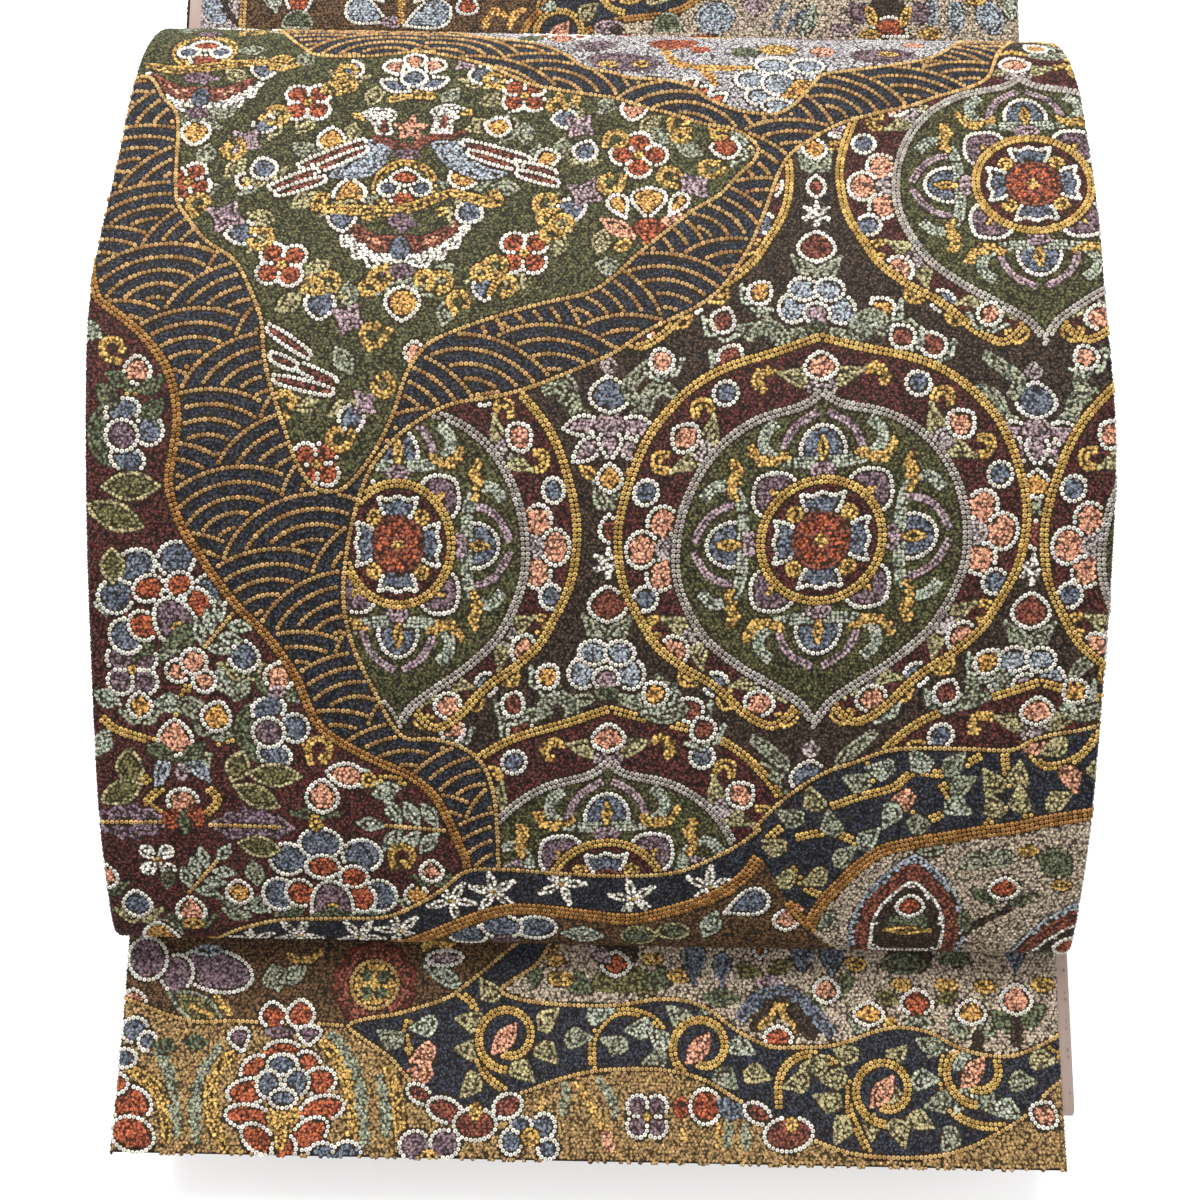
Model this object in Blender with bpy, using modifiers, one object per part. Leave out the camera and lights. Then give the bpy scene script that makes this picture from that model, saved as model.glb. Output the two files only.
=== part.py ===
"""A fukuro obi sash folded into its drum bow, lying on its back with the rest of its length folded below.

The band is a flat tube: an embroidered front cloth and a plain lining, sewn together along both edges.
Seen from the side, one line runs between the two cloths through every fold. Each stretch of the band
between two folds is a front cloth and a lining of its own, raised on the two sides of that line.

+Z is up, +X runs across the band and -Y points at the end flap. The origin is on the floor, below the
middle of the box that holds the whole part.
"""

import math

import bmesh
import bpy
import numpy as np

MM = 0.001

# The band.
BAND_WIDTH = 310 * MM
FRONT_THICKNESS = 1.9 * MM
LINING_THICKNESS = 1.0 * MM
SEAM_GAP = 0.3 * MM
FOLD_ROOM = 0.2 * MM
FOLD_LEAD = 1 * MM

# The folded length below the bow.
STACK_LAYERS = 6
STACK_PITCH = 3.5 * MM
STACK_GROOVE = 1.1 * MM
STACK_CORNER_RADIUS = 3 * MM
STACK_CORNER_STEPS = 4
STACK_SKEW = 6 * MM

# Where the band turns, measured along Y at the outside of each fold.
FAR_FOLD_Y = 220 * MM
NEAR_FOLD_Y = -204.8 * MM
PLEAT_FOLD_Y = 6 * MM
FLAP_END_Y = -219.85 * MM
FLAP_LIFT_START_Y = -156 * MM
FLAP_LIFT = 4.5 * MM

# How far layers lie out of line, measured along X, and where the middle of the band lies.
BAND_MIDDLE_X = 1.05 * MM
NEAR_FOLD_SHIFT = 4 * MM
SHIFT_START_Y = 60 * MM
DRUM_SWAY = -1.6 * MM
DRUM_SWAY_Y = 45 * MM
DRUM_SWAY_LENGTH = 30 * MM
STRIP_LINING_SHOW = 2 * MM
LINING_SET_BACK = 0.8 * MM

# The soft unevenness of the drum.
RIPPLE = 0.5 * MM
RIPPLES_ACROSS = 1.5
RIPPLES_ALONG = 2.0

# How finely the cloth is divided.
COLUMNS = 8
FOLD_STEPS = 8
FLAT_STEPS = 6
LIFT_STEPS = 6
DRUM_STEPS = 60
TURN_WEIGHT = 30 * MM

FRONT_REACH = SEAM_GAP / 2 + FRONT_THICKNESS
LINING_REACH = SEAM_GAP / 2 + LINING_THICKNESS
FRONT_INSIDE_RADIUS = FRONT_REACH + FOLD_ROOM
LINING_INSIDE_RADIUS = LINING_REACH + FOLD_ROOM

STACK_TOP = STACK_LAYERS * STACK_PITCH
STRIP_LEVEL = STACK_TOP + SEAM_GAP + LINING_REACH
BACK_LEVEL = STRIP_LEVEL + 2 * FRONT_INSIDE_RADIUS
FLAP_LEVEL = BACK_LEVEL + 2 * LINING_REACH + SEAM_GAP
PLEAT_LEVEL = FLAP_LEVEL + 2 * FRONT_INSIDE_RADIUS

FAR_FOLD_CENTRE = FAR_FOLD_Y - LINING_INSIDE_RADIUS - FRONT_REACH
NEAR_FOLD_CENTRE = NEAR_FOLD_Y + FRONT_INSIDE_RADIUS + LINING_REACH
PLEAT_FOLD_CENTRE = PLEAT_FOLD_Y - FRONT_INSIDE_RADIUS - LINING_REACH

# The drum from the side, in millimetres: the line between its two cloths.
DRUM_COLUMNS = ("place", "y", "z")
DRUM_PROFILE = (
    ("foot", 112.0, BACK_LEVEL / MM),
    ("underside", 141.0, 30.8),
    ("back", 160.4, 50.0),
    ("shoulder", 149.0, 71.2),
    ("upper", 104.0, 91.2),
    ("far crest", 52.0, 103.2),
    ("near crest", 12.0, 104.4),
    ("upper slope", -30.0, 95.8),
    ("middle slope", -76.0, 81.0),
    ("lower slope", -114.0, 66.4),
    ("brow", -140.0, 51.6),
    ("nose", -149.2, 41.2),
    ("turn", -141.0, PLEAT_LEVEL / MM),
)

# The stack's layers from the floor up, in millimetres: where each one ends on its four sides.
STACK_COLUMNS = ("layer", "left", "right", "near", "far")
STACK_EDGES = (
    (0, -153.8, 153.0, -197.5, 215.5),
    (1, -154.6, 154.2, -197.5, 219.2),
    (2, -154.0, 153.2, -200.6, 219.2),
    (3, -155.0, 154.4, -200.6, 218.0),
    (4, -154.2, 153.4, -198.6, 218.0),
    (5, -155.2, 154.0, -198.6, 215.0),
)
NEAR_FOLDS_START = 0
FAR_FOLDS_START = 1
LAYER_STEPS = 4

EMBROIDERED = ("embroidered_front", (0.105, 0.088, 0.055), 0.62)
PLAIN = ("plain_lining", (0.270, 0.200, 0.160), 0.55)


def clear_scene():
    """Removes whatever the scene holds."""
    for thing in list(bpy.data.objects):
        bpy.data.objects.remove(thing, do_unlink=True)


def cloth_material(name, colour, roughness):
    """A matt cloth of one colour, made once and shared."""
    made = bpy.data.materials.get(name)
    if made:
        return made
    made = bpy.data.materials.new(name)
    made.use_nodes = True
    shader = made.node_tree.nodes["Principled BSDF"]
    shader.inputs["Base Color"].default_value = (*colour, 1)
    shader.inputs["Roughness"].default_value = roughness
    shader.inputs["Metallic"].default_value = 0
    made.diffuse_color = (*colour, 1)
    return made


def straight(start, end, steps):
    """Points from start to end, both (y, z), with both ends."""
    return np.linspace(start, end, steps + 1)


def half_turn(centre_y, low_z, high_z, side, upward):
    """A half circle between two levels, bulging towards side (+1 far, -1 near), going up or down.

    It has a short straight lead at each end.
    """
    radius = (high_z - low_z) / 2
    angle = np.linspace(-math.pi / 2, math.pi / 2, FOLD_STEPS + 1)
    arc = np.column_stack(
        (centre_y + side * radius * np.cos(angle), low_z + radius + radius * np.sin(angle))
    )
    lead = centre_y - side * FOLD_LEAD
    turn = np.vstack(((lead, low_z), arc, (lead, high_z)))
    return turn if upward else turn[::-1]


def spline(points, start_slope, end_slope, steps):
    """A cubic spline through points, with a given direction at each end, sampled closer where it bends."""
    chord = np.linalg.norm(np.diff(points, axis=0), axis=1)
    knots = np.concatenate(([0], np.cumsum(chord)))
    count = len(points)
    matrix = np.zeros((count, count))
    right = np.zeros((count, 2))
    matrix[0, 0] = matrix[-1, -1] = 1
    right[0] = start_slope
    right[-1] = end_slope
    for i in range(1, count - 1):
        before, after = chord[i - 1], chord[i]
        matrix[i, i - 1 : i + 2] = 1 / before, 2 * (1 / before + 1 / after), 1 / after
        step_in = (points[i] - points[i - 1]) / before**2
        step_out = (points[i + 1] - points[i]) / after**2
        right[i] = 3 * (step_in + step_out)
    slopes = np.linalg.solve(matrix, right)

    def at(length):
        piece = np.clip(np.searchsorted(knots, length, side="right") - 1, 0, count - 2)
        span = chord[piece][:, None]
        t = (length - knots[piece])[:, None] / span
        ends = points[piece] * (2 * t**3 - 3 * t**2 + 1) + points[piece + 1] * (3 * t**2 - 2 * t**3)
        pulls = slopes[piece] * (t**3 - 2 * t**2 + t) + slopes[piece + 1] * (t**3 - t**2)
        return ends + pulls * span

    fine = at(np.linspace(0, knots[-1], 40 * steps))
    move = np.diff(fine, axis=0)
    heading = np.unwrap(np.arctan2(move[:, 1], move[:, 0]))
    turning = np.abs(np.diff(heading, prepend=heading[0]))
    effort = np.linalg.norm(move, axis=1) + TURN_WEIGHT * turning
    travelled = np.concatenate(([0], np.cumsum(effort)))
    even = np.linspace(0, travelled[-1], steps + 1)
    return np.column_stack([np.interp(even, travelled, fine[:, axis]) for axis in range(2)])


def joined(*runs):
    """One line from runs that each start where the last one ends."""
    return np.vstack([runs[0]] + [run[1:] for run in runs[1:]])


def side_normals(line):
    """For each point of a (y, z) line, the direction that the embroidered side faces."""
    steps = np.diff(line, axis=0)
    steps /= np.linalg.norm(steps, axis=1)[:, None]
    along = np.vstack((steps[:1], steps[:-1] + steps[1:], steps[-1:]))
    along /= np.linalg.norm(along, axis=1)[:, None]
    return np.column_stack((along[:, 1], -along[:, 0]))


def trimmed(line, start=0.0, end=0.0):
    """The line with its ends pulled in by the lengths start and end."""
    line = line.copy()
    first = line[1] - line[0]
    last = line[-2] - line[-1]
    line[0] += first / np.linalg.norm(first) * start
    line[-1] += last / np.linalg.norm(last) * end
    return line


def layer_shift(line):
    """How far the strip and the layer on it lie to +X: nothing at the drum, most at the near fold."""
    part = (SHIFT_START_Y - line[:, 0]) / (SHIFT_START_Y - NEAR_FOLD_Y)
    return NEAR_FOLD_SHIFT * np.clip(part, 0, 1)


def drum_shift(line):
    """The drum's small sway towards -X, just behind its crest."""
    above = line[:, 1] > BACK_LEVEL + FRONT_REACH
    sway = DRUM_SWAY * np.exp(-(((line[:, 0] - DRUM_SWAY_Y) / DRUM_SWAY_LENGTH) ** 2))
    return np.where(above, sway, 0)


def no_shift(line):
    """A stretch that lies in line with the drum."""
    return np.zeros(len(line))


def drum_ripple(across, share):
    """Soft hollows and swells of the drum, fading out towards both ends of its stretch."""
    fade = math.sin(math.pi * share) ** 2
    wave = math.sin(2 * math.pi * (RIPPLES_ACROSS * across + 0.15))
    return RIPPLE * fade * wave * math.sin(2 * math.pi * RIPPLES_ALONG * share)


def placed(name, mesh, look):
    """An object for the mesh, in the part's collection, with its cloth and its place across the band."""
    piece = bpy.data.objects.new(name, mesh)
    piece.location.x = BAND_MIDDLE_X
    parts.objects.link(piece)
    mesh.materials.append(cloth_material(*look))
    return piece


def cloth(name, look, line, shift, inset=(0.0, 0.0), ripple=None):
    """One stretch of front cloth or lining: an open sheet beside the line, thickened away from it.

    line is the run between the two cloths, shift gives its places along X, and inset is how far the
    cloth stops short of the band's left and right edges.
    """
    is_front = look is EMBROIDERED
    side = 1 if is_front else -1
    normals = side_normals(line)
    base = line + side * SEAM_GAP / 2 * normals
    centres = shift(line)
    left = -BAND_WIDTH / 2 + inset[0]
    right = BAND_WIDTH / 2 - inset[1]
    rows = len(line) - 1

    sheet = bmesh.new()
    bmesh.ops.create_grid(sheet, x_segments=COLUMNS, y_segments=rows, size=0.5)
    for vertex in sheet.verts:
        across = vertex.co.x + 0.5
        row = round((vertex.co.y + 0.5) * rows)
        swell = ripple(across, row / rows) if ripple else 0.0
        y, z = base[row] + swell * normals[row]
        vertex.co = (right + (left - right) * across + centres[row], y, z)
    mesh = bpy.data.meshes.new(name)
    sheet.to_mesh(mesh)
    sheet.free()

    piece = placed(name, mesh, look)
    wall = piece.modifiers.new("wall", "SOLIDIFY")
    wall.thickness = FRONT_THICKNESS if is_front else LINING_THICKNESS
    wall.offset = side
    return piece


def rounded_ring(left, right, near, far, level):
    """The corners-rounded outline of one level of the stack, as points in order round it."""
    radius = STACK_CORNER_RADIUS
    corners = (
        (right - radius, far - radius, 0),
        (left + radius, far - radius, 90),
        (left + radius, near + radius, 180),
        (right - radius, near + radius, 270),
    )
    ring = []
    for x, y, start in corners:
        for step in range(STACK_CORNER_STEPS + 1):
            angle = math.radians(start + 90 * step / STACK_CORNER_STEPS)
            at_y = y + radius * math.sin(angle)
            skew = -STACK_SKEW * (at_y - NEAR_FOLD_Y) / (FAR_FOLD_Y - NEAR_FOLD_Y)
            ring.append((x + radius * math.cos(angle) + skew, at_y, level))
    return ring


def edge_inset(layer, share, folds_start=None):
    """How far the stack's side stands back at a height within a layer, from 0 at its bottom to 1.

    A loose edge is one small round. Where two layers are one fold, the round spans both of them.
    """
    if folds_start is not None and layer >= folds_start:
        second = (layer - folds_start) % 2
        if layer - second + 1 < STACK_LAYERS:
            return STACK_PITCH * (1 - math.sqrt(1 - (2 * (share + second) / 2 - 1) ** 2 * 0.75))
    return STACK_GROOVE * (1 - math.sqrt(1 - (2 * share - 1) ** 2))


def folded_stack(name):
    """The rest of the band as one rounded block whose four sides show its layers."""
    rings = []
    for layer, left, right, near, far in STACK_EDGES:
        for step in range(LAYER_STEPS + (layer == STACK_LAYERS - 1)):
            share = step / LAYER_STEPS
            level = (layer + share) * STACK_PITCH
            loose = edge_inset(layer, share)
            near_inset = edge_inset(layer, share, NEAR_FOLDS_START)
            far_inset = edge_inset(layer, share, FAR_FOLDS_START)
            limits = (
                left * MM + loose,
                right * MM - loose,
                near * MM + near_inset,
                far * MM - far_inset,
            )
            rings.append(rounded_ring(*limits, level))

    block = bmesh.new()
    loops = [[block.verts.new(point) for point in ring] for ring in rings]
    count = len(loops[0])
    for low, high in zip(loops, loops[1:]):
        for i in range(count):
            j = (i + 1) % count
            block.faces.new((low[i], low[j], high[j], high[i]))
    block.faces.new(loops[0][::-1])
    block.faces.new(loops[-1])
    mesh = bpy.data.meshes.new(name)
    block.to_mesh(mesh)
    block.free()
    return placed(name, mesh, PLAIN)


def strip_line():
    """Up out of the stack round the far fold, then flat to the near fold."""
    low = STRIP_LEVEL - 2 * LINING_INSIDE_RADIUS
    turn = half_turn(FAR_FOLD_CENTRE, low, STRIP_LEVEL, 1, upward=True)
    flat = straight(turn[-1], (NEAR_FOLD_CENTRE + FOLD_LEAD, STRIP_LEVEL), FLAT_STEPS)
    return trimmed(joined(turn, flat), end=SEAM_GAP)


def back_line():
    """Round the near fold and flat below the drum, lining side up, to the foot of the roll."""
    turn = half_turn(NEAR_FOLD_CENTRE, STRIP_LEVEL, BACK_LEVEL, -1, upward=True)
    foot = DRUM_PROFILE[0][1] * MM - FOLD_LEAD
    flat = straight(turn[-1], (foot, BACK_LEVEL), FLAT_STEPS)
    return trimmed(joined(turn, flat), end=SEAM_GAP)


def drum_line():
    """The roll, the drum's face and the round fold at its near edge."""
    points = np.array([(y * MM, z * MM) for _, y, z in DRUM_PROFILE])
    curve = spline(points, (1, 0), (1, 0), DRUM_STEPS)
    lead = (FOLD_LEAD, 0)
    return np.vstack((curve[0] - lead, curve, curve[-1] + lead))


def pleat_line():
    """Flat inside the drum, lining side up, and round the pleat's hidden fold."""
    start = (DRUM_PROFILE[-1][1] * MM + FOLD_LEAD, PLEAT_LEVEL)
    flat = straight(start, (PLEAT_FOLD_CENTRE - FOLD_LEAD, PLEAT_LEVEL), FLAT_STEPS)
    turn = half_turn(PLEAT_FOLD_CENTRE, FLAP_LEVEL, PLEAT_LEVEL, 1, upward=False)
    return trimmed(joined(flat, turn), start=SEAM_GAP)


def flap_line():
    """From the pleat's fold out below the drum's edge, rising a little to the end of the band."""
    start = (PLEAT_FOLD_CENTRE - FOLD_LEAD, FLAP_LEVEL)
    flat = straight(start, (FLAP_LIFT_START_Y, FLAP_LEVEL), FLAT_STEPS)
    share = np.linspace(0, 1, LIFT_STEPS + 1)
    rise = np.column_stack(
        (
            FLAP_LIFT_START_Y + (FLAP_END_Y - FLAP_LIFT_START_Y) * share,
            FLAP_LEVEL + FLAP_LIFT * share**2,
        )
    )
    return trimmed(joined(flat, rise), start=SEAM_GAP)


clear_scene()
parts = bpy.data.collections.new("obi_sash")
bpy.context.scene.collection.children.link(parts)

set_back = (LINING_SET_BACK, LINING_SET_BACK)
folded_stack("folded_rest_of_band")
cloth("strip_front", EMBROIDERED, strip_line(), layer_shift)
cloth("strip_lining", PLAIN, strip_line(), layer_shift, inset=(-STRIP_LINING_SHOW, LINING_SET_BACK))
cloth("back_layer_front", EMBROIDERED, back_line(), layer_shift)
cloth("back_layer_lining", PLAIN, back_line(), layer_shift, inset=set_back)
cloth("drum_front", EMBROIDERED, drum_line(), drum_shift, ripple=drum_ripple)
cloth("drum_lining", PLAIN, drum_line(), drum_shift, inset=set_back, ripple=drum_ripple)
cloth("pleat_front", EMBROIDERED, pleat_line(), no_shift)
cloth("pleat_lining", PLAIN, pleat_line(), no_shift, inset=set_back)
cloth("end_flap_front", EMBROIDERED, flap_line(), no_shift)
cloth("end_flap_lining", PLAIN, flap_line(), no_shift, inset=set_back)
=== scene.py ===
"""The looks of an obi sash folded into its drum bow: two silk cloths, and French knots all over the front.

The band is followed through its folds by one line between its two cloths, as the solids are. Each stretch has
an embroidered front and a plain lining, made as thin shells beside that line. The embroidery of a stretch is
drawn flat on a chart first, in millimetres, as shapes and strings of thread, then sewn knot by knot.

Shapes are worked out in millimetres and turned into metres when a mesh is made.
"""


import collections
import math

import bpy
import numpy as np
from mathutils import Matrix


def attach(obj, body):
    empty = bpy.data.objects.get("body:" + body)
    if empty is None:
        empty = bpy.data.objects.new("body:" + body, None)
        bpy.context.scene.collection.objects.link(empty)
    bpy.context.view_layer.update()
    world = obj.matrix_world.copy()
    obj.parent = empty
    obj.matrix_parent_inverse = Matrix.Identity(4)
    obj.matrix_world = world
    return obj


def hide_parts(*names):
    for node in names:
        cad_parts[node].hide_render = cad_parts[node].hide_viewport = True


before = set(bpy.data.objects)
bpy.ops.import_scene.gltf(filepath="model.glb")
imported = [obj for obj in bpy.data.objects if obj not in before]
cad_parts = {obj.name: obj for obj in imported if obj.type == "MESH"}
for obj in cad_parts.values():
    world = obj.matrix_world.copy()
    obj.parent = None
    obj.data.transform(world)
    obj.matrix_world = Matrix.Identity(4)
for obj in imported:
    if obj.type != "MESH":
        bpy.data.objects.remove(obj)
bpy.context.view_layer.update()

MM = 0.001
rng = np.random.default_rng(31)

# The band, as its solids have it.
BAND_WIDTH = 310
HALF_WIDTH = BAND_WIDTH / 2
BAND_MIDDLE_X = 1.05
FRONT_REACH = 2.05
LINING_REACH = 1.15
FRONT_INSIDE_RADIUS = 2.25
LINING_INSIDE_RADIUS = 1.35
FOLD_LEAD = 1

# The cloths as shells: where their outer faces lie from the line, and how thick they are.
GROUND_LIFT = 1.4
GROUND_THICKNESS = 1.0
LINING_LIFT = 1.0
LINING_THICKNESS = 0.7
EDGE_RADIUS = 2
FLAT_HALF = HALF_WIDTH - EDGE_RADIUS
EDGE_U = FLAT_HALF + EDGE_RADIUS * math.pi / 2
LINING_HALF = 153.9
STRIP_LINING_HALF = LINING_HALF + 2.9
BACK_LINING_HALF = HALF_WIDTH + 1.2

# The folded rest below the bow.
STACK_LAYERS = 6
STACK_PITCH = 3.5
STACK_UP_LEVEL = 1.3
STACK_DOWN_LEVEL = 2.2
STACK_SKEW = 6

# Each row: layer, how far to the right, near fold, far fold.
STACK_TABLE = (
    (0, -0.4, -197.5, 215.5), (1, -0.2, -197.5, 219.2), (2, -0.4, -200.6, 219.2), (3, -0.3, -200.6, 218),
    (4, -0.4, -198.6, 218), (5, -0.6, -198.6, 215),
)

# Where the far folds of the rest show their embroidered side: between these levels, from this place on.
FAR_FOLD_LEVELS = ((5, 9), (12, 16))
FAR_FOLD_START_Y = 213

# Where the band turns.
FAR_FOLD_Y = 220
NEAR_FOLD_Y = -204.8
PLEAT_FOLD_Y = 6
FLAP_END_Y = -219.85
FLAP_LIFT_START_Y = -156
FLAP_LIFT = 4.5

# How far layers lie out of line across the band.
NEAR_FOLD_SHIFT = 4
SHIFT_START_Y = 60
DRUM_SWAY = -1.6
DRUM_SWAY_Y = 45
DRUM_SWAY_LENGTH = 30

# The soft unevenness of the drum.
RIPPLE = 0.5
RIPPLES_ACROSS = 1.5
RIPPLES_ALONG = 2

# The levels of the layers' lines and the middles of their folds.
STRIP_LEVEL = STACK_LAYERS * STACK_PITCH + 0.3 + LINING_REACH
BACK_LEVEL = STRIP_LEVEL + 2 * FRONT_INSIDE_RADIUS
FLAP_LEVEL = BACK_LEVEL + 2 * LINING_REACH + 0.3
PLEAT_LEVEL = FLAP_LEVEL + 2 * FRONT_INSIDE_RADIUS
FAR_FOLD_CENTRE = FAR_FOLD_Y - LINING_INSIDE_RADIUS - FRONT_REACH
NEAR_FOLD_CENTRE = NEAR_FOLD_Y + FRONT_INSIDE_RADIUS + LINING_REACH
PLEAT_FOLD_CENTRE = PLEAT_FOLD_Y - FRONT_INSIDE_RADIUS - LINING_REACH

# The drum from the side, as rows of (place, y, z): the line between its two cloths.
DRUM_PROFILE = (
    ("foot", 112, BACK_LEVEL), ("underside", 141, 30.8), ("back", 160.4, 50), ("shoulder", 149, 71.2),
    ("upper", 104, 91.2), ("far crest", 52, 103.2), ("near crest", 12, 104.4), ("upper slope", -30, 95.8),
    ("middle slope", -76, 81), ("lower slope", -114, 66.4), ("brow", -140, 51.6), ("nose", -149.2, 41.2),
    ("turn", -141, PLEAT_LEVEL),
)

# Steps along the lines: the drum's, set by length and by turning, each fold's, and how long flat ones are.
DRUM_STEPS = 150
TURN_WEIGHT = 30
FOLD_STEPS = 12
FLAT_STEP = 15

# The threads: two close shades in sRGB, the share of the second, and the knot that each is sewn in.
Thread = collections.namedtuple("Thread", "name shade second_shade share knot")
THREADS = [Thread(*row) for row in (
    ("navy", (30, 36, 50), (20, 25, 36), 0.4, "fine"),
    ("olive", (74, 74, 42), (55, 56, 29), 0.45, "fine"),
    ("burgundy", (74, 26, 24), (52, 17, 16), 0.4, "fine"),
    ("dark_brown", (54, 39, 29), (36, 26, 19), 0.4, "fine"),
    ("brown", (88, 61, 34), (70, 47, 25), 0.4, "seed"),
    ("tan", (150, 120, 76), (124, 97, 58), 0.4, "seed"),
    ("beige", (168, 152, 132), (146, 130, 112), 0.35, "seed"),
    ("cloud", (164, 158, 158), (142, 137, 139), 0.35, "seed"),
    ("gold", (194, 156, 86), (158, 122, 60), 0.4, "seed"),
    ("gold_ring", (204, 168, 98), (170, 134, 70), 0.4, "ring"),
    ("light_gold", (196, 162, 106), (164, 128, 76), 0.35, "ring"),
    ("wave_gold", (182, 146, 96), (148, 111, 68), 0.4, "ring"),
    ("amber", (174, 126, 70), (142, 98, 48), 0.4, "ring"),
    ("amber_fill", (202, 152, 84), (172, 124, 62), 0.4, "seed"),
    ("white", (226, 221, 210), (204, 198, 184), 0.3, "ring"),
    ("white_fill", (222, 216, 204), (198, 192, 178), 0.3, "seed"),
    ("red", (162, 82, 50), (128, 58, 34), 0.4, "seed"),
    ("brick", (124, 66, 50), (94, 45, 35), 0.4, "seed"),
    ("salmon", (204, 146, 118), (172, 116, 92), 0.35, "seed"),
    ("blue", (102, 108, 120), (77, 84, 97), 0.4, "seed"),
    ("light_blue", (150, 156, 162), (124, 131, 140), 0.35, "seed"),
    ("lilac", (166, 153, 150), (140, 127, 128), 0.3, "seed"),
    ("mauve", (158, 136, 140), (130, 108, 115), 0.35, "seed"),
    ("purple", (116, 94, 102), (88, 69, 78), 0.35, "seed"),
    ("sage", (140, 142, 120), (112, 116, 96), 0.35, "seed"),
    ("pale_sage", (158, 162, 144), (131, 137, 121), 0.3, "seed"),
    ("moss", (160, 150, 110), (130, 121, 85), 0.35, "seed"),
    ("dusk", (132, 108, 120), (100, 80, 92), 0.45, "seed"),
    ("lilac_ring", (178, 170, 160), (150, 140, 132), 0.35, "ring"),
    ("brick_ring", (122, 58, 44), (88, 38, 31), 0.5, "ring"),
    ("leaf_olive", (106, 100, 60), (80, 76, 43), 0.4, "seed"),
    ("leaf_green", (92, 98, 72), (70, 78, 55), 0.35, "seed"),
)]
THREAD_NUMBER = {thread.name: number for number, thread in enumerate(THREADS)}

# How bright the coils' painted shade and highlight and the ring knots are, the colour and share of the
# painted glint on the coils, and how thread varies in shade.
COIL_GAIN = 1.2
RING_GAIN = 0.8
PAINTED_GLINT_COLOUR = (0.6, 0.5, 0.37)
PAINTED_GLINT_SHARE = 0.14
SHADE_SPREAD = 0.11
HUE_SPREAD = 0.03

# The knots, in millimetres: a ring knot is a low round with a dimple, the others are small mounds.
Knot = collections.namedtuple("Knot", "sides radius crest_radius height dimple pitch room")
KNOTS = {
    "ring": Knot(6, 0.79, 0.54, 0.60, 0.06, 1.42, 1.22),
    "seed": Knot(5, 0.88, 0.0, 0.50, 0.0, 1.26, 0.96),
    "fine": Knot(4, 0.88, 0.0, 0.44, 0.0, 1.19, 0.96),
}
# Painted shade and highlight in each knot's colour: dark foot and dimple, light crest and mound point.
KNOT_FOOT_PAINTED_SHADE = 0.42
KNOT_DIMPLE_PAINTED_SHADE = 0.05
CREST_PAINTED_HIGHLIGHT = (1.05, 0.1)
MOUND_FOOT_PAINTED_SHADE = (0.55, 0.12)
MOUND_TOP_PAINTED_HIGHLIGHT = 1.25
KNOT_SINK = 0.05
KNOT_TILT = 0.12
KNOT_TALLNESS = (0.85, 1.15)
KNOT_SIZE_SPREAD = 0.08
STRING_PITCHES = {"ring": (1.5, 1.42), "seed": (1.27, 1.2), "fine": (1.15, 1.1)}
EDGE_INSET = 0.55
MOST_TRIANGLES = 170_000

# The charts' small squares, the finer ones that keep knots apart, and where the charts begin and end.
CELL = 0.5
ROOM_CELL = 0.25
DRUM_CHART = (-6, 392)
FLAP_CHART = (0, 88)
STRIP_CHART = (118, 222.5)


# ---------------------------------------------------------------- lines and curves


def straight(start, end, step=FLAT_STEP):
    """Points from start to end, both (y, z), about a step apart, with both ends."""
    count = max(2, round(math.dist(start, end) / step) + 1)
    return np.linspace(start, end, count)


def half_turn(centre_y, low_z, high_z, side, upward):
    """A half circle between two levels, bulging towards side (+1 far, -1 near), with short straight leads."""
    radius = (high_z - low_z) / 2
    angle = np.linspace(-math.pi / 2, math.pi / 2, FOLD_STEPS + 1)
    reach = side * radius * np.cos(angle)
    bulge = np.column_stack((centre_y + reach, low_z + radius + radius * np.sin(angle)))
    lead = centre_y - side * FOLD_LEAD
    turn = np.vstack(((lead, low_z), bulge, (lead, high_z)))
    return turn if upward else turn[::-1]


def spline(points, start_slope, end_slope, steps):
    """A cubic spline through points, with a given direction at each end, sampled closer where it bends."""
    chord = np.linalg.norm(np.diff(points, axis=0), axis=1)
    knots = np.concatenate(([0], np.cumsum(chord)))
    count = len(points)
    matrix = np.zeros((count, count))
    right = np.zeros((count, 2))
    matrix[0, 0] = matrix[-1, -1] = 1
    right[0] = start_slope
    right[-1] = end_slope
    for i in range(1, count - 1):
        before, after = chord[i - 1], chord[i]
        matrix[i, i - 1 : i + 2] = 1 / before, 2 * (1 / before + 1 / after), 1 / after
        step_in = (points[i] - points[i - 1]) / before**2
        step_out = (points[i + 1] - points[i]) / after**2
        right[i] = 3 * (step_in + step_out)
    slopes = np.linalg.solve(matrix, right)

    def at(length):
        piece = np.clip(np.searchsorted(knots, length, side="right") - 1, 0, count - 2)
        span = chord[piece][:, None]
        t = (length - knots[piece])[:, None] / span
        ends = points[piece] * (2 * t**3 - 3 * t**2 + 1) + points[piece + 1] * (3 * t**2 - 2 * t**3)
        pulls = slopes[piece] * (t**3 - 2 * t**2 + t) + slopes[piece + 1] * (t**3 - t**2)
        return ends + pulls * span

    fine = at(np.linspace(0, knots[-1], 40 * steps))
    move = np.diff(fine, axis=0)
    heading = np.unwrap(np.arctan2(move[:, 1], move[:, 0]))
    turning = np.abs(np.diff(heading, prepend=heading[0]))
    effort = np.linalg.norm(move, axis=1) + TURN_WEIGHT * turning
    travelled = np.concatenate(([0], np.cumsum(effort)))
    even = np.linspace(0, travelled[-1], steps + 1)
    return np.column_stack([np.interp(even, travelled, fine[:, axis]) for axis in range(2)])


def joined(*runs):
    """One line from runs that each start where the last one ends."""
    return np.vstack([runs[0]] + [run[1:] for run in runs[1:]])


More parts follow.
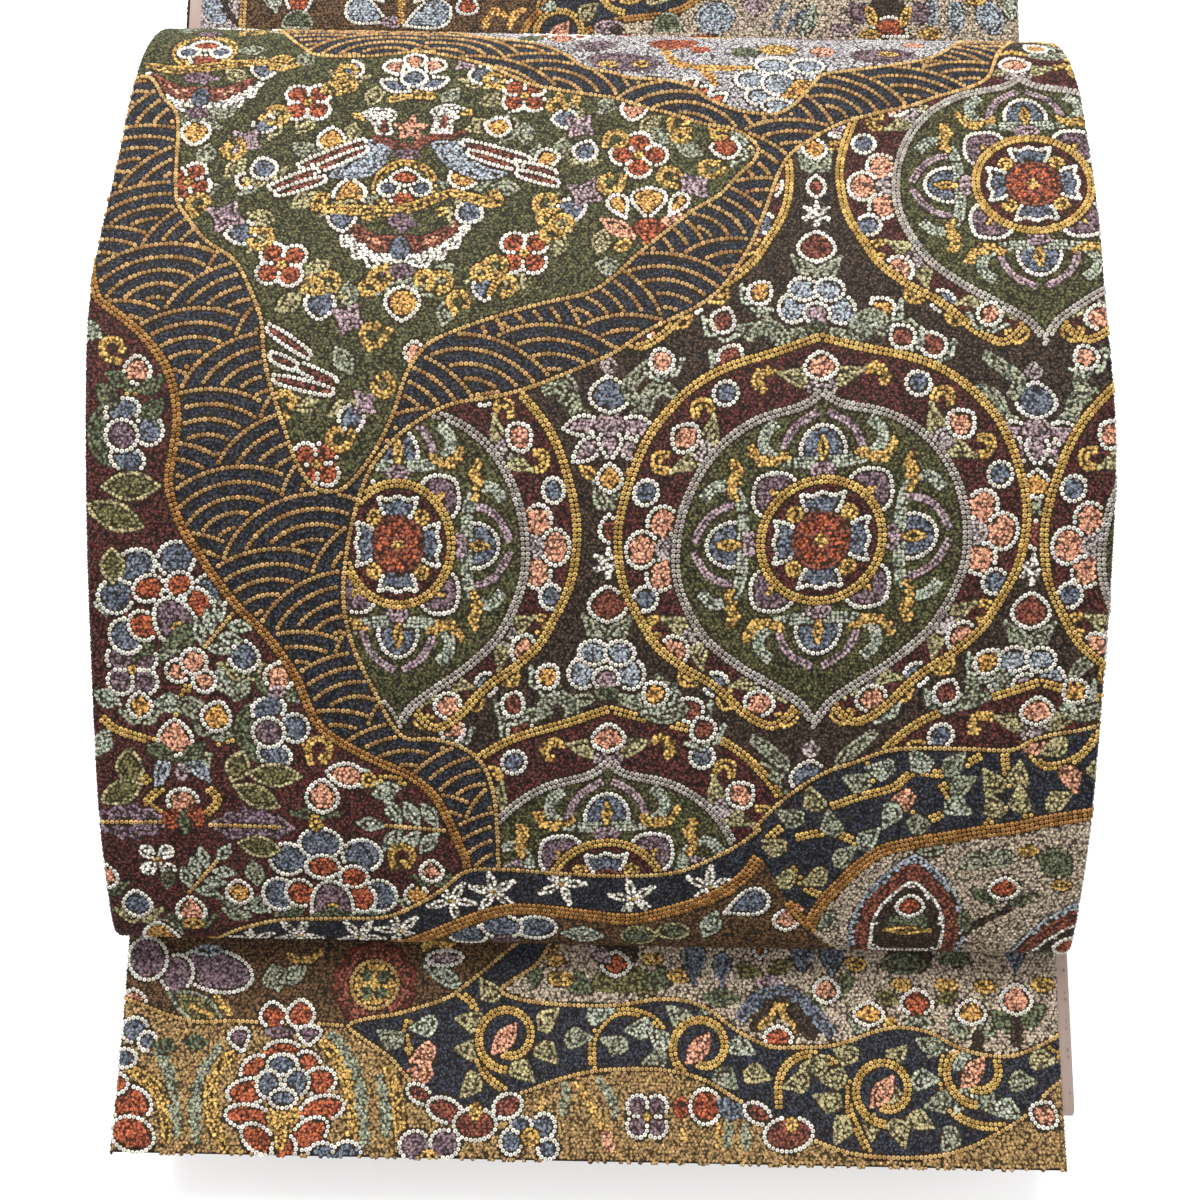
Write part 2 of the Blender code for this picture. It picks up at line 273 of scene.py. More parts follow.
def side_normals(line):
    """For each point of a (y, z) line, the direction that the embroidered side faces."""
    steps = np.diff(line, axis=0)
    steps /= np.linalg.norm(steps, axis=1)[:, None]
    along = np.vstack((steps[:1], steps[:-1] + steps[1:], steps[-1:]))
    along /= np.linalg.norm(along, axis=1)[:, None]
    return np.column_stack((along[:, 1], -along[:, 0]))


def lengths(path):
    """How far along a path each of its points lies."""
    return np.concatenate(([0], np.cumsum(np.linalg.norm(np.diff(path, axis=0), axis=1))))


# ---------------------------------------------------------------- the stretches of the band


def layer_shift(line):
    """How far the strip and the layer on it lie to +X: nothing at the drum, most at the near fold."""
    part = (SHIFT_START_Y - line[:, 0]) / (SHIFT_START_Y - NEAR_FOLD_Y)
    return NEAR_FOLD_SHIFT * np.clip(part, 0, 1)


def drum_shift(line):
    """The drum's small sway towards -X, just behind its crest."""
    above = line[:, 1] > BACK_LEVEL + FRONT_REACH
    sway = DRUM_SWAY * np.exp(-(((line[:, 0] - DRUM_SWAY_Y) / DRUM_SWAY_LENGTH) ** 2))
    return np.where(above, sway, 0)


def no_shift(line):
    """A stretch that lies in line with the drum."""
    return np.zeros(len(line))


def drum_ripple(across, share):
    """Soft hollows and swells of the drum, fading out towards both ends of its stretch."""
    fade = np.sin(math.pi * share) ** 2
    wave = np.sin(2 * math.pi * (RIPPLES_ACROSS * across + 0.15))
    return RIPPLE * fade * wave * np.sin(2 * math.pi * RIPPLES_ALONG * share)


class Stretch:
    """A stretch of the band as a surface: u runs across it and round its edges, s along its line.

    zero is the s at which the stretch's chart has v = 0; v grows against s.
    """

    def __init__(self, line, shift, ripple=None, zero=None):
        self.line = line
        self.s = lengths(line)
        self.length = self.s[-1]
        self.zero = self.length if zero is None else zero
        self.normals = side_normals(line)
        self.shift = shift(line)
        self.share = np.linspace(0, 1, len(line))
        self.ripple = ripple

    def read(self, s, values):
        """A value of the line's points, between them."""
        return np.interp(s, self.s, values)

    def place(self, u, s, height, rolled=True):
        """Points at a height over the front's ground cloth, and the directions out of it and across it.

        Up to FLAT_HALF from the middle the cloth is flat; past that, u is an arc of EDGE_RADIUS.
        """
        out = np.stack([self.read(s, self.normals[:, axis]) for axis in range(2)], -1)
        out /= np.linalg.norm(out, axis=-1, keepdims=True)
        flat = np.clip(u, -FLAT_HALF, FLAT_HALF) if rolled else u
        turn = (u - flat) / EDGE_RADIUS
        radius = EDGE_RADIUS + height
        x = flat + radius * np.sin(turn)
        lift = GROUND_LIFT - EDGE_RADIUS + radius * np.cos(turn)
        if self.ripple:
            lift = lift + self.ripple(0.5 - x / BAND_WIDTH, self.read(s, self.share))
        points = np.stack(
            (
                BAND_MIDDLE_X + self.read(s, self.shift) + x,
                self.read(s, self.line[:, 0]) + lift * out[..., 0],
                self.read(s, self.line[:, 1]) + lift * out[..., 1],
            ),
            -1,
        )
        sine, cosine = np.sin(turn)[..., None], np.cos(turn)[..., None]
        outward = np.concatenate((sine, cosine * out), -1)
        across = np.concatenate((cosine, -sine * out), -1)
        return points, outward, across


def strip_line():
    """Up out of the stack round the far fold, then flat to the near fold."""
    low = STRIP_LEVEL - 2 * LINING_INSIDE_RADIUS
    turn = half_turn(FAR_FOLD_CENTRE, low, STRIP_LEVEL, 1, upward=True)
    return joined(turn, straight(turn[-1], (NEAR_FOLD_CENTRE + FOLD_LEAD, STRIP_LEVEL)))


def back_line():
    """Round the near fold and flat below the drum, lining side up, to the foot of the roll."""
    turn = half_turn(NEAR_FOLD_CENTRE, STRIP_LEVEL, BACK_LEVEL, -1, upward=True)
    return joined(turn, straight(turn[-1], (DRUM_PROFILE[0][1] - FOLD_LEAD, BACK_LEVEL)))


def drum_line():
    """The roll, the drum's face and the round fold at its near edge."""
    points = np.array([(y, z) for _, y, z in DRUM_PROFILE])
    curve = spline(points, (1, 0), (1, 0), DRUM_STEPS)
    lead = (FOLD_LEAD, 0)
    return np.vstack((curve[0] - lead, curve, curve[-1] + lead))


def pleat_line():
    """Flat inside the drum, lining side up, and round the pleat's hidden fold."""
    start = (DRUM_PROFILE[-1][1] + FOLD_LEAD, PLEAT_LEVEL)
    flat = straight(start, (PLEAT_FOLD_CENTRE - FOLD_LEAD, PLEAT_LEVEL))
    return joined(flat, half_turn(PLEAT_FOLD_CENTRE, FLAP_LEVEL, PLEAT_LEVEL, 1, upward=False))


def flap_line():
    """From the pleat's fold out below the drum's edge, rising a little to the end of the band."""
    start = (PLEAT_FOLD_CENTRE - FOLD_LEAD, FLAP_LEVEL)
    flat = straight(start, (FLAP_LIFT_START_Y, FLAP_LEVEL))
    share = np.linspace(0, 1, 13)
    rise_y = FLAP_LIFT_START_Y + (FLAP_END_Y - FLAP_LIFT_START_Y) * share
    return joined(flat, np.column_stack((rise_y, FLAP_LEVEL + FLAP_LIFT * share**2)))


def rest_line():
    """The folded rest, from the band's loose end on the floor up to the far fold of the strip.

    Even layers run towards -Y with the front up, odd ones back with the lining up.
    """

    def level(layer):
        return layer * STACK_PITCH + (STACK_DOWN_LEVEL if layer % 2 else STACK_UP_LEVEL)

    runs = []
    start = (STACK_TABLE[0][3], level(0))
    for layer, _, near, far in STACK_TABLE[:-1]:
        low, high = level(layer), level(layer + 1)
        radius = (high - low) / 2
        if layer % 2 == 0:
            turn = half_turn(near + radius + LINING_REACH, low, high, -1, upward=True)
        else:
            turn = half_turn(far - radius - FRONT_REACH, low, high, 1, upward=True)
        runs += [straight(start, turn[0], 30), turn]
        start = turn[-1]
    end = (FAR_FOLD_CENTRE - FOLD_LEAD, level(STACK_LAYERS - 1))
    return joined(*runs, straight(start, end, 30))


def rest_shift(line):
    """The stack's skew towards -X at its far end, and each layer's own place."""
    skew = -STACK_SKEW * (line[:, 0] - NEAR_FOLD_Y) / (FAR_FOLD_Y - NEAR_FOLD_Y)
    own = [row[1] for row in STACK_TABLE]
    levels = [(row[0] + 0.5) * STACK_PITCH for row in STACK_TABLE]
    return skew + np.interp(line[:, 1], levels, own)


def drum_stretch():
    """The drum, whose chart starts at its near edge and runs up over the crest and down the back."""
    line = drum_line()
    return Stretch(line, drum_shift, drum_ripple, zero=lengths(line)[np.argmin(line[:, 0])])


def strip_stretch():
    """The strip, whose chart has v = y on its flat run."""
    line = strip_line()
    turn_end = FOLD_STEPS + 2
    return Stretch(line, layer_shift, zero=lengths(line)[turn_end] + line[turn_end, 0])


# ---------------------------------------------------------------- outlines of motifs, in millimetres


def smooth(points, closed=False, steps=8):
    """A curve through points: between two of them it is a cubic, and its slope at each is half the step from
    the point before to the point after."""
    p = np.asarray(points, float)
    if closed:
        before, start, after, last = np.roll(p, 1, 0), p, np.roll(p, -1, 0), np.roll(p, -2, 0)
    else:
        padded = np.vstack((2 * p[0] - p[1], p, 2 * p[-1] - p[-2]))
        before, start, after, last = padded[:-3], padded[1:-2], padded[2:-1], padded[3:]
    t = (np.arange(steps) / steps)[None, :, None]
    slope_in, slope_out = (after - before)[:, None] / 2, (last - start)[:, None] / 2
    curve = start[:, None] * (2 * t**3 - 3 * t**2 + 1) + after[:, None] * (3 * t**2 - 2 * t**3)
    curve = curve + slope_in * (t**3 - 2 * t**2 + t) + slope_out * (t**3 - t**2)
    curve = curve.reshape(-1, 2)
    return curve if closed else np.vstack((curve, p[-1]))


def turned(points, degrees):
    """Points turned counterclockwise about the origin."""
    angle = math.radians(degrees)
    cosine, sine = math.cos(angle), math.sin(angle)
    return np.asarray(points, float) @ np.array(((cosine, sine), (-sine, cosine)))


def moved(points, x, y, degrees=0):
    """Points turned, then moved."""
    return turned(points, degrees) + (x, y)


def circle(x, y, radius, steps=20):
    """A closed circle."""
    angle = np.arange(steps) * 2 * math.pi / steps
    return np.column_stack((x + radius * np.cos(angle), y + radius * np.sin(angle)))


def arc(x, y, radius, start, end, steps=20):
    """Part of a circle, from start to end in degrees counterclockwise from +x."""
    angle = np.radians(np.linspace(start, end, steps))
    return np.column_stack((x + radius * np.cos(angle), y + radius * np.sin(angle)))


def mirrored_outline(half_widths, heights):
    """A closed outline whose right and left sides lie at the same half widths."""
    right = np.column_stack((half_widths, heights))
    return np.vstack((right, (right * (-1, 1))[::-1]))


def leaf(length, width):
    """Pointed at both ends: the half width is a sine along the length."""
    t = np.linspace(0, 1, 12)
    return mirrored_outline(width / 2 * np.sin(math.pi * t) ** 0.9, length * t)


def drop(length, width):
    """Round at the foot and pointed at the tip: a sine whose widest place is pulled to the foot."""
    t = np.linspace(0, 1, 14)
    return mirrored_outline(width / 2 * np.sin(math.pi * t**0.6), length * t)


def petal(length, width):
    """Narrow at the foot and round at the tip: a drop turned end for end."""
    t = np.linspace(0, 1, 14)
    return mirrored_outline(width / 2 * np.sin(math.pi * (1 - t) ** 0.6), length * t)


def toothed_leaf(length, width, teeth):
    """A leaf whose edge steps in at each tooth: its sine is scaled by a saw that falls from 1 to 0.62."""
    t = np.linspace(0, 1, 8 * teeth + 1)
    saw = 1 - 0.38 * ((t * teeth) % 1)
    return mirrored_outline(width / 2 * np.sin(math.pi * t) ** 0.8 * saw, length * t)


def star(reach, points=4, waist=0.45):
    """A star with straight sides, a point upward."""
    angle = math.pi / 2 + np.arange(2 * points) * math.pi / points
    radius = np.where(np.arange(2 * points) % 2, waist * reach, reach)
    return np.column_stack((radius * np.cos(angle), radius * np.sin(angle)))


def scallops(radius, count, depth):
    """A round outline with count round lobes: the radius is highest at each lobe's middle."""
    angle = np.linspace(0, 2 * math.pi, 14 * count, endpoint=False)
    reach = radius * (1 - depth + depth * np.abs(np.cos(count * (angle - math.pi / 2) / 2)))
    return np.column_stack((reach * np.cos(angle), reach * np.sin(angle)))


def sideways(path):
    """For each point of a path, the direction to its left."""
    along = np.gradient(path, axis=0)
    along /= np.maximum(np.linalg.norm(along, axis=1), 1e-9)[:, None]
    return np.column_stack((-along[:, 1], along[:, 0]))


def beside(path, offset):
    """A path moved sideways by an offset, to its left."""
    return path + offset * sideways(path)


def spaced(path, pitch):
    """Points an even pitch apart along a path; a closed one ends where it starts."""
    reach = lengths(path)
    count = max(1, round(reach[-1] / pitch))
    closed = np.allclose(path[0], path[-1])
    at = (np.arange(count) + (0 if closed else 0.5)) * reach[-1] / count
    return np.column_stack([np.interp(at, reach, path[:, axis]) for axis in range(2)])


def rounded(length, width):
    """A round bud with a slight point: the half width is a blunt sine, widest a little below the middle."""
    t = np.linspace(0, 1, 16)
    return mirrored_outline(width / 2 * np.sin(math.pi * t**0.85) ** 0.72, length * t)


def ribbon(path, width, taper=0.35):
    """A closed outline round a path: its width is a blunt sine, and taper of it at both ends."""
    share = np.linspace(0, 1, len(path))
    half = width / 2 * (taper + (1 - taper) * np.sin(math.pi * share) ** 0.6)
    side = half[:, None] * sideways(path)
    return np.vstack((path + side, (path - side)[::-1]))


def lobed(needle, circles, thread, edge="white"):
    """Round lobes that run together, edged round the whole of them."""
    for x, y, radius in circles:
        needle.fill(circle(x, y, radius), thread, edge)
    for x, y, radius in circles:
        needle.fill(circle(x, y, radius - 0.9), thread)


def centred(outline_of):
    """An outline of a length and width, moved so that its middle lies at the origin."""
    return lambda length, width: outline_of(length, width) - (0, length / 2)


def half_round(length, width):
    """A dome with a flat foot."""
    angle = np.linspace(0, math.pi, 14)
    return np.column_stack((width / 2 * np.cos(angle), length * np.sin(angle) ** 0.8 - length / 2))


def corner_leaf(length, width):
    """An uneven three-cornered leaf."""
    corners = (
        (0.06, -0.58), (0.5, -0.4), (0.36, 0.06), (0.02, 0.62), (-0.34, 0.22), (-0.56, -0.1), (-0.36, -0.4),
    )
    return np.array(corners) * (width, length)


def block(length, width):
    """A rectangle."""
    return np.array(((-0.5, -0.5), (0.5, -0.5), (0.5, 0.5), (-0.5, 0.5))) * (width, length)


SHAPES = {
    "round": lambda length, width: circle(0, 0, 0.5) * (width, length),
    "half": half_round,
    "bud": centred(rounded),
    "leaf": centred(leaf),
    "drop": centred(drop),
    "petal": centred(petal),
    "star5": lambda length, width: star(0.55, 5, 0.5) * (width, length),
    "block": block,
}


def patches(needle, groups):
    """Fills each group's places: (shape, thread, edge thread, ((u, v, width, height, turn if any), ...))."""
    for shape, thread, edge, places in groups:
        for u, v, width, height, *turn in places:
            needle.fill(moved(SHAPES[shape](height, width), u, v, *turn), thread, edge or None)


def bars(needle, groups):
    """Fills curved bars: (thread, edge thread, width, (paths))."""
    for thread, edge, width, paths in groups:
        for path in paths:
            curve = smooth(path, steps=5) if len(path) > 2 else np.linspace(*path, 8)
            needle.fill(ribbon(curve, width, 0.6), thread, edge or None, own_edge=width > 4)


# ---------------------------------------------------------------- the chart


class Chart:
    """The embroidery of one stretch, drawn flat: u across the band, v along it, in millimetres.

    What is drawn later lies on top. For each small square, thread holds the thread on top and order when it
    was drawn. Strings are rows of single knots.
    """

    def __init__(self, low, high, ground):
        self.low, self.high = low, high
        shape = (int((high - low) / CELL) + 1, int(2 * EDGE_U / CELL) + 1)
        self.thread = np.full(shape, THREAD_NUMBER[ground])
        self.order = np.zeros(shape, int)
        self.mask = np.ones(shape, bool)
        self.count = 0
        self.strings = []

    def covered(self, outline):
        """The window of squares round a closed outline, and which of them lie inside it.

        A square is inside when an odd number of the outline's sides cross its row before it.
        """
        u = (outline[:, 0] + EDGE_U) / CELL
        v = (outline[:, 1] - self.low) / CELL
        rows, columns = self.thread.shape
        first_row, last_row = max(0, math.ceil(v.min())), min(rows, math.floor(v.max()) + 1)
        first, last = max(0, math.floor(u.min())), min(columns, math.ceil(u.max()) + 1)
        if first_row >= last_row or first >= last:
            return (slice(0, 0), slice(0, 0)), np.zeros((0, 0), bool)
        row = np.arange(first_row, last_row)[:, None]
        next_u, next_v = np.roll(u, -1), np.roll(v, -1)
        crosses = (v > row) != (next_v > row)
        rise = np.where(next_v == v, 1, next_v - v)
        at = np.clip(np.ceil(u + (row - v) / rise * (next_u - u)), first, last) - first
        marks = np.zeros((last_row - first_row, last - first + 1), int)
        where = np.nonzero(crosses)
        np.add.at(marks, (where[0], at[where].astype(int)), 1)
        inside = np.cumsum(marks, axis=1)[:, :-1] % 2 == 1
        return (slice(first_row, last_row), slice(first, last)), inside

    def clip(self, *outlines):
        """From here on, only what lies inside these outlines is drawn; with none, everything is."""
        self.mask = np.full(self.thread.shape, not outlines)
        for outline in outlines:
            window, inside = self.covered(outline)
            self.mask[window] |= inside

    def square(self, points):
        """The row and column of the square at each point."""
        rows, columns = self.thread.shape
        row = np.clip(np.rint((points[:, 1] - self.low) / CELL).astype(int), 0, rows - 1)
        column = np.clip(np.rint((points[:, 0] + EDGE_U) / CELL).astype(int), 0, columns - 1)
        return row, column

    def fill(self, outline, thread, edge=None, rows=1, own_edge=True):
        """Fills a closed outline with a thread, and strings its edge with another thread or with its own."""
        self.count += 1
        window, inside = self.covered(outline)
        inside &= self.mask[window]
        self.thread[window][inside] = THREAD_NUMBER[thread]
        self.order[window][inside] = self.count
        closed = np.vstack((outline, outline[:1]))
        if edge:
            self.string(closed, edge, rows)
        elif own_edge:
            x, y = closed.T
            turning = math.copysign(1, np.sum(x[:-1] * y[1:] - x[1:] * y[:-1]))
            inner = beside(closed, EDGE_INSET * turning)
            inner[-1] = inner[0]
            self.string(inner, thread)

    def string(self, path, thread, rows=1):
        """Rows of knots side by side along a path."""
        self.count += 1
        pitch, spacing = STRING_PITCHES[THREADS[THREAD_NUMBER[thread]].knot]
        for row in range(rows):
            offset = (row - (rows - 1) / 2) * spacing
            points = spaced(beside(path, offset) if offset else path, pitch)
            inside = self.holds(points)
            points = points[inside]
            points = points[self.mask[self.square(points)]]
            self.strings.append((self.count, THREAD_NUMBER[thread], points))

    def knots(self):
        """Every knot of the chart: for each kind, an array of (u, v) and one of threads.

        Strings are sewn first, the last drawn before the others. A knot is left out where something drawn
        later covers it, or where one that is already sewn is too near.
        """
        shape = (int((self.high - self.low) / ROOM_CELL) + 1, int(2 * EDGE_U / ROOM_CELL) + 1)
        taken = {kind: np.zeros(shape, bool) for kind in KNOTS}

        def room_square(points):
            row = np.rint((points[:, 1] - self.low) / ROOM_CELL).astype(int)
            column = np.rint((points[:, 0] + EDGE_U) / ROOM_CELL).astype(int)
            return np.clip(row, 0, shape[0] - 1), np.clip(column, 0, shape[1] - 1)

        def take(points, sewn):
            """Marks the squares where no knot of each kind may have its middle any more."""
            row, column = room_square(points)
            for kind, around in taken.items():
                reach = (KNOTS[sewn].room + KNOTS[kind].room) / 2
                span = np.arange(-6, 7)
                down, side = np.meshgrid(span, span, indexing="ij")
                near = down**2 + side**2 < (reach / ROOM_CELL) ** 2
                rows = np.clip(row[:, None] + down[near], 0, shape[0] - 1)
                columns = np.clip(column[:, None] + side[near], 0, shape[1] - 1)
                around[rows, columns] = True

        kinds = np.array([thread.knot for thread in THREADS])
        found = {kind: ([], []) for kind in KNOTS}
        for order, thread, points in sorted(self.strings, key=lambda string: -string[0]):
            if not len(points):
                continue
            kind = kinds[thread]
            free = (self.order[self.square(points)] <= order) & ~taken[kind][room_square(points)]
            take(points[free], kind)
            found[kind][0].append(points[free])
            found[kind][1].append(np.full(free.sum(), thread))
        for kind in KNOTS:
            points = self.field_of_places(KNOTS[kind].pitch)
            thread = self.thread[self.square(points)]
            free = (kinds[thread] == kind) & ~taken[kind][room_square(points)]
            take(points[free], kind)
            found[kind][0].append(points[free])
            found[kind][1].append(thread[free])
        return {kind: (np.vstack(row[0]), np.concatenate(row[1])) for kind, row in found.items()}

    def field_of_places(self, pitch):
        """Places all over the chart in close staggered rows, each pushed a little off its row."""
        across = np.arange(-EDGE_U + pitch / 2, EDGE_U, pitch)
        along = np.arange(self.low, self.high, pitch * math.sqrt(3) / 2)
        u, v = np.meshgrid(across, along)
        u = u + (np.arange(len(along)) % 2)[:, None] * pitch / 2
        points = np.column_stack((u.ravel(), v.ravel())) + rng.normal(0, 0.09 * pitch, (u.size, 2))
        return points[self.holds(points)]

    def holds(self, points):
        """Which points lie on the chart."""
        u, v = points.T
        return (np.abs(u) < EDGE_U) & (v > self.low) & (v < self.high)


class Needle:
    """Sews a motif at one place of a chart: its points are mirrored, scaled, turned and moved there."""

    def __init__(self, chart, u, v, size=1.0, turn=0.0, mirrored=False):
        self.chart, self.u, self.v = chart, u, v
        self.size, self.turn, self.mirrored = size, turn, mirrored

    def to_chart(self, points):
        """Where the motif's points lie on the chart."""
        points = np.asarray(points, float) * self.size
        if self.mirrored:
            points = points * (-1, 1)
        return moved(points, self.u, self.v, self.turn)

    def fill(self, outline, thread, edge=None, rows=1, own_edge=True):
        """Fills an outline, as the chart does."""
        self.chart.fill(self.to_chart(outline), thread, edge, rows, own_edge)

    def string(self, path, thread, rows=1):
        """Sews rows of knots along a path, as the chart does."""
        self.chart.string(self.to_chart(path), thread, rows)

    def at(self, x, y, size=1.0, turn=0.0, mirrored=False):
        """A needle for a part of the motif, at a place of the motif's own."""
        (u, v), = self.to_chart([(x, y)])
        own_turn = self.turn + (-turn if self.mirrored else turn)
        return Needle(self.chart, u, v, self.size * size, own_turn, self.mirrored != mirrored)


class Leaning(Needle):
    """A needle for a part of a chart that is narrower across, and leans up to one side."""

    def __init__(self, chart, u, narrow, lean):
        super().__init__(chart, u, 0)
        self.narrow, self.lean = narrow, lean

    def to_chart(self, points):
        """Where the points lie on the chart once they are narrowed and leant."""
        points = np.asarray(points, float)
        across = points[:, 0] - self.u
        return np.column_stack((self.u + self.narrow * across, points[:, 1] + self.lean * across))


# ---------------------------------------------------------------- small motifs


def bud(needle, thread="salmon", cup="sage", length=10.5, width=9.6, edge="white"):
    """A round bud in a cup of two leaves, placed by the bud's middle."""
    if cup:
        for side in (-1, 1):
            needle.fill(moved(drop(9.5, 5.8), 0, -1.5 - length / 2, -side * 62), cup)
    needle.fill(rounded(length, width) - (0, length / 2), thread, edge)


def spear_leaf(needle, thread="sage", length=10, width=5.4):
    """A plain leaf with no edge."""
    needle.fill(leaf(length, width), thread)


def serrated_leaf(needle, length=27, width=13.5):
    """A toothed purple leaf with a gold midrib."""
    needle.fill(toothed_leaf(length, width, 5) - (0, length / 2), "dusk")
    needle.string(np.array(((0, -length / 2), (0, length / 2 - 4.0))), "light_gold")


def four_petals(needle, thread="red", heart="gold", reach=7.0, edge="white"):
    """Four round petals in a square, edged round the whole and parted by a cross of knots."""
    places = [(x * reach * 0.48, y * reach * 0.48, reach * 0.56) for x in (-1, 1) for y in (-1, 1)]
    lobed(needle, places, thread, edge)
    for turn in (0, 90):
        needle.string(turned(((0, -0.8 * reach), (0, 0.8 * reach)), turn), edge)
    needle.fill(circle(0, 0, 1.6), heart)


def lotus(needle, top="salmon", low="blue", calyx="gold"):
    """Five petals in a fan over a small calyx."""
    for turn, thread in ((-72, low), (72, low), (-34, top), (34, top), (0, top)):
        needle.fill(turned(petal(12.5, 7.8), turn), thread, "white")
    needle.fill(circle(0, 1.5, 4), low, "white")
    needle.fill(circle(0, 1.5, 1.2), "gold")
    needle.fill(ribbon(arc(0, 3, 10, 212, 328), 3.4), calyx)


def peony(needle, outer="blue", inner="red", core="purple"):
    """Five blue petals round a smaller red fan and a purple core, backed by green leaves."""
    patches(needle, (
        ("drop", "leaf_green", "", ((-12, -10, 7, 9, 118), (12, -10, 7, 9, -118), (0, -13, 9, 9, 180))),
        ("round", outer, "white", (
            (-14, -5, 9.5, 10.5), (14.5, -5, 9.5, 10.5), (-11, 6.5, 10, 10), (10, 8, 11, 10),
            (-1.5, 11.5, 12, 9.5),
        )),
        ("round", inner, "white", (
            (-8.2, -4.5, 8, 9), (9.6, -6, 7.5, 9), (-1.2, 4.2, 9.5, 7.4), (7.4, 1.2, 8, 7),
        )),
        ("half", core, "white", ((0.8, -5.6, 12, 10.5),)),
        ("round", "gold", "", ((0.8, -9.6, 4, 3.4),)),
        ("leaf", "leaf_green", "", ((0.8, -12.4, 6, 13, 90),)),
    ))


def side_bloom(needle):
    """A bloom seen from the side: three blue petals round a purple core, on a green back."""
    needle.fill(ribbon(arc(-1.5, 0, 9, 85, 275), 5.4, 0.4), "leaf_green")
    patches(needle, (
        ("round", "blue", "white", (
            (-2.5, 7, 10.5, 7.4, 15), (-1, -7.4, 10.5, 7.4, -15), (5.6, 1.2, 8.4, 9),
        )),
        ("round", "purple", "white", ((-2.6, -0.4, 9.8, 9.4),)),
    ))


def curl(needle, thread="gold", reach=3.7):
    """A hook that thickens as it turns and ends in a dot, placed by its middle."""
    angle = np.radians(180 - 250 * np.linspace(0, 1, 16))
    radius = reach * (1 - 0.2 * np.linspace(0, 1, 16))
    hook = np.column_stack((radius * np.cos(angle), 1.0 + radius * np.sin(angle)))
    path = np.vstack(((-2.7, -4.2), (-3.1, -1.8), hook))
    needle.fill(ribbon(path, 2.9, 0.8), thread, own_edge=False)
    needle.string(path, thread, 2)
    needle.fill(circle(*hook[-1], 1.5), thread, own_edge=False)


def forked_curl(needle, thread="gold"):
    """Two hooks back to back, one large and one small."""
    curl(needle.at(2.8, 0.4), thread)
    curl(needle.at(-2.4, -1.2, 0.8, 20, mirrored=True), thread)


def sprig(needle, pairs=3, thread="pale_sage", stem="light_gold"):
    """A thin stem with pairs of small leaves and one at its tip, placed by its middle."""
    low = -2.5 * pairs
    for pair in range(pairs):
        for side in (-1, 1):
            needle.fill(moved(leaf(8.0, 4.4), side * 0.8, low + 0.4 + 5.0 * pair, -side * 56), thread)
    needle.fill(moved(leaf(7.5, 4.4), 0, -low), thread)
    needle.string(np.array(((0, low - 2), (0, -low))), stem)


def small_star(needle, thread="mauve", reach=5.8):
    """A four-pointed star, resting on two points."""
    needle.fill(turned(star(reach, waist=0.55), 45), thread)


def hollow_star(needle):
    """A small white flower of four lobes with a gold heart."""
    for turn in (45, 135, 225, 315):
        needle.fill(turned(petal(6.4, 4.6), turn), "white_fill")
    needle.fill(circle(0, 0, 1.2), "gold")


PALMETTE_HEM = (
    (0, 0), (6, 1.5), (13, 5), (20, 9.5), (21.5, 5), (19, 2), (18.4, -2), (15, -2.6), (14.2, -6.6),
    (10.4, -6.4), (8.8, -10.2), (5, -8.6), (3, -11), (0, -8.5),
)
PALMETTE_WING = (
    (1.5, 2.4), (7, 2), (12.5, 5), (18.6, 8.8), (16.6, 3.6), (12, -0.6), (7.2, -3.6), (2.2, -4.4),
)
PALMETTE_VEIN = ((5, 0.6), (9, 1), (13, 3.4), (11, 0.8), (7.5, -1.4))


def winged_palmette(needle):
    """Two spread brick wings over toothed white hems, with a blue core between them."""
    for mirrored in (False, True):
        side = needle.at(0, 0, mirrored=mirrored)
        side.fill(PALMETTE_HEM, "white_fill")
        side.fill(PALMETTE_WING, "brick")
        side.fill(PALMETTE_VEIN, "salmon", own_edge=False)
    needle.fill(rounded(8.5, 6.4) - (0, 6.5), "blue")
    needle.fill(star(4.6) * (1.2, 0.8) + (0, 6.5), "dusk")
    needle.fill(star(5) * (1.1, 0.8) - (0, 11.5), "dusk")


def jewel_ring(needle):
    """A gold ring round four small red and blue petals."""
    needle.fill(circle(0, 0, 10.4, 32), "gold")
    needle.fill(circle(0, 0, 7.9, 32), "olive", own_edge=False)
    patches(needle, (
        ("round", "red", "white", ((0.8, -5.6, 9, 5.6),)),
        ("round", "blue", "white", ((-4.9, -1.4, 6.4, 6.2), (5.3, -1, 6.4, 6.2))),
        ("bud", "red", "white", ((0, 3, 9.4, 6.6),)),
    ))


# ---------------------------------------------------------------- the large medallion and what lies round it

RING_HALF = (
    (0, 61.5), (13, 57.5), (28, 53.5), (38, 48.5), (46, 41.5), (53, 32.5), (58, 20.5), (61, 8.5),
    (61, -1.5), (59, -11.5), (54, -21.5), (49, -29.5), (41, -36.5), (33, -41.5), (27, -46.5), (21, -52.5),
    (13, -56.5), (7, -52.5), (6, -48.5), (9, -46.5),
)
OGEE_HALF = (
    (0, 44.5), (6, 40.5), (20, 36.8), (32, 28.5), (40, 16), (43.5, 2), (42.5, -12), (35, -27), (24, -37),
    (13, -44), (5, -49.5), (1.5, -54), (0, -57),
)
DISC_HOOKS = (
    ((10, 26.5), (14.5, 24.6), (19, 25.2), (22.5, 29.5)),
    ((27.5, 25.5), (25.8, 21.5), (27.4, 17.5), (25.2, 13)),
)
TOP_HOOK = ((13, 50.5), (17, 51.5), (19.5, 48.5), (17.5, 45.5))
TOP_BUD = (
    ("drop", "moss", "", ((-8, 49.5, 6, 12, 74), (8, 49.5, 6, 12, -74))),
    ("round", "lilac", "", ((0, 45.5, 9, 7),)),
    ("bud", "salmon", "white", ((0, 52.5, 10, 8.8),)),
)
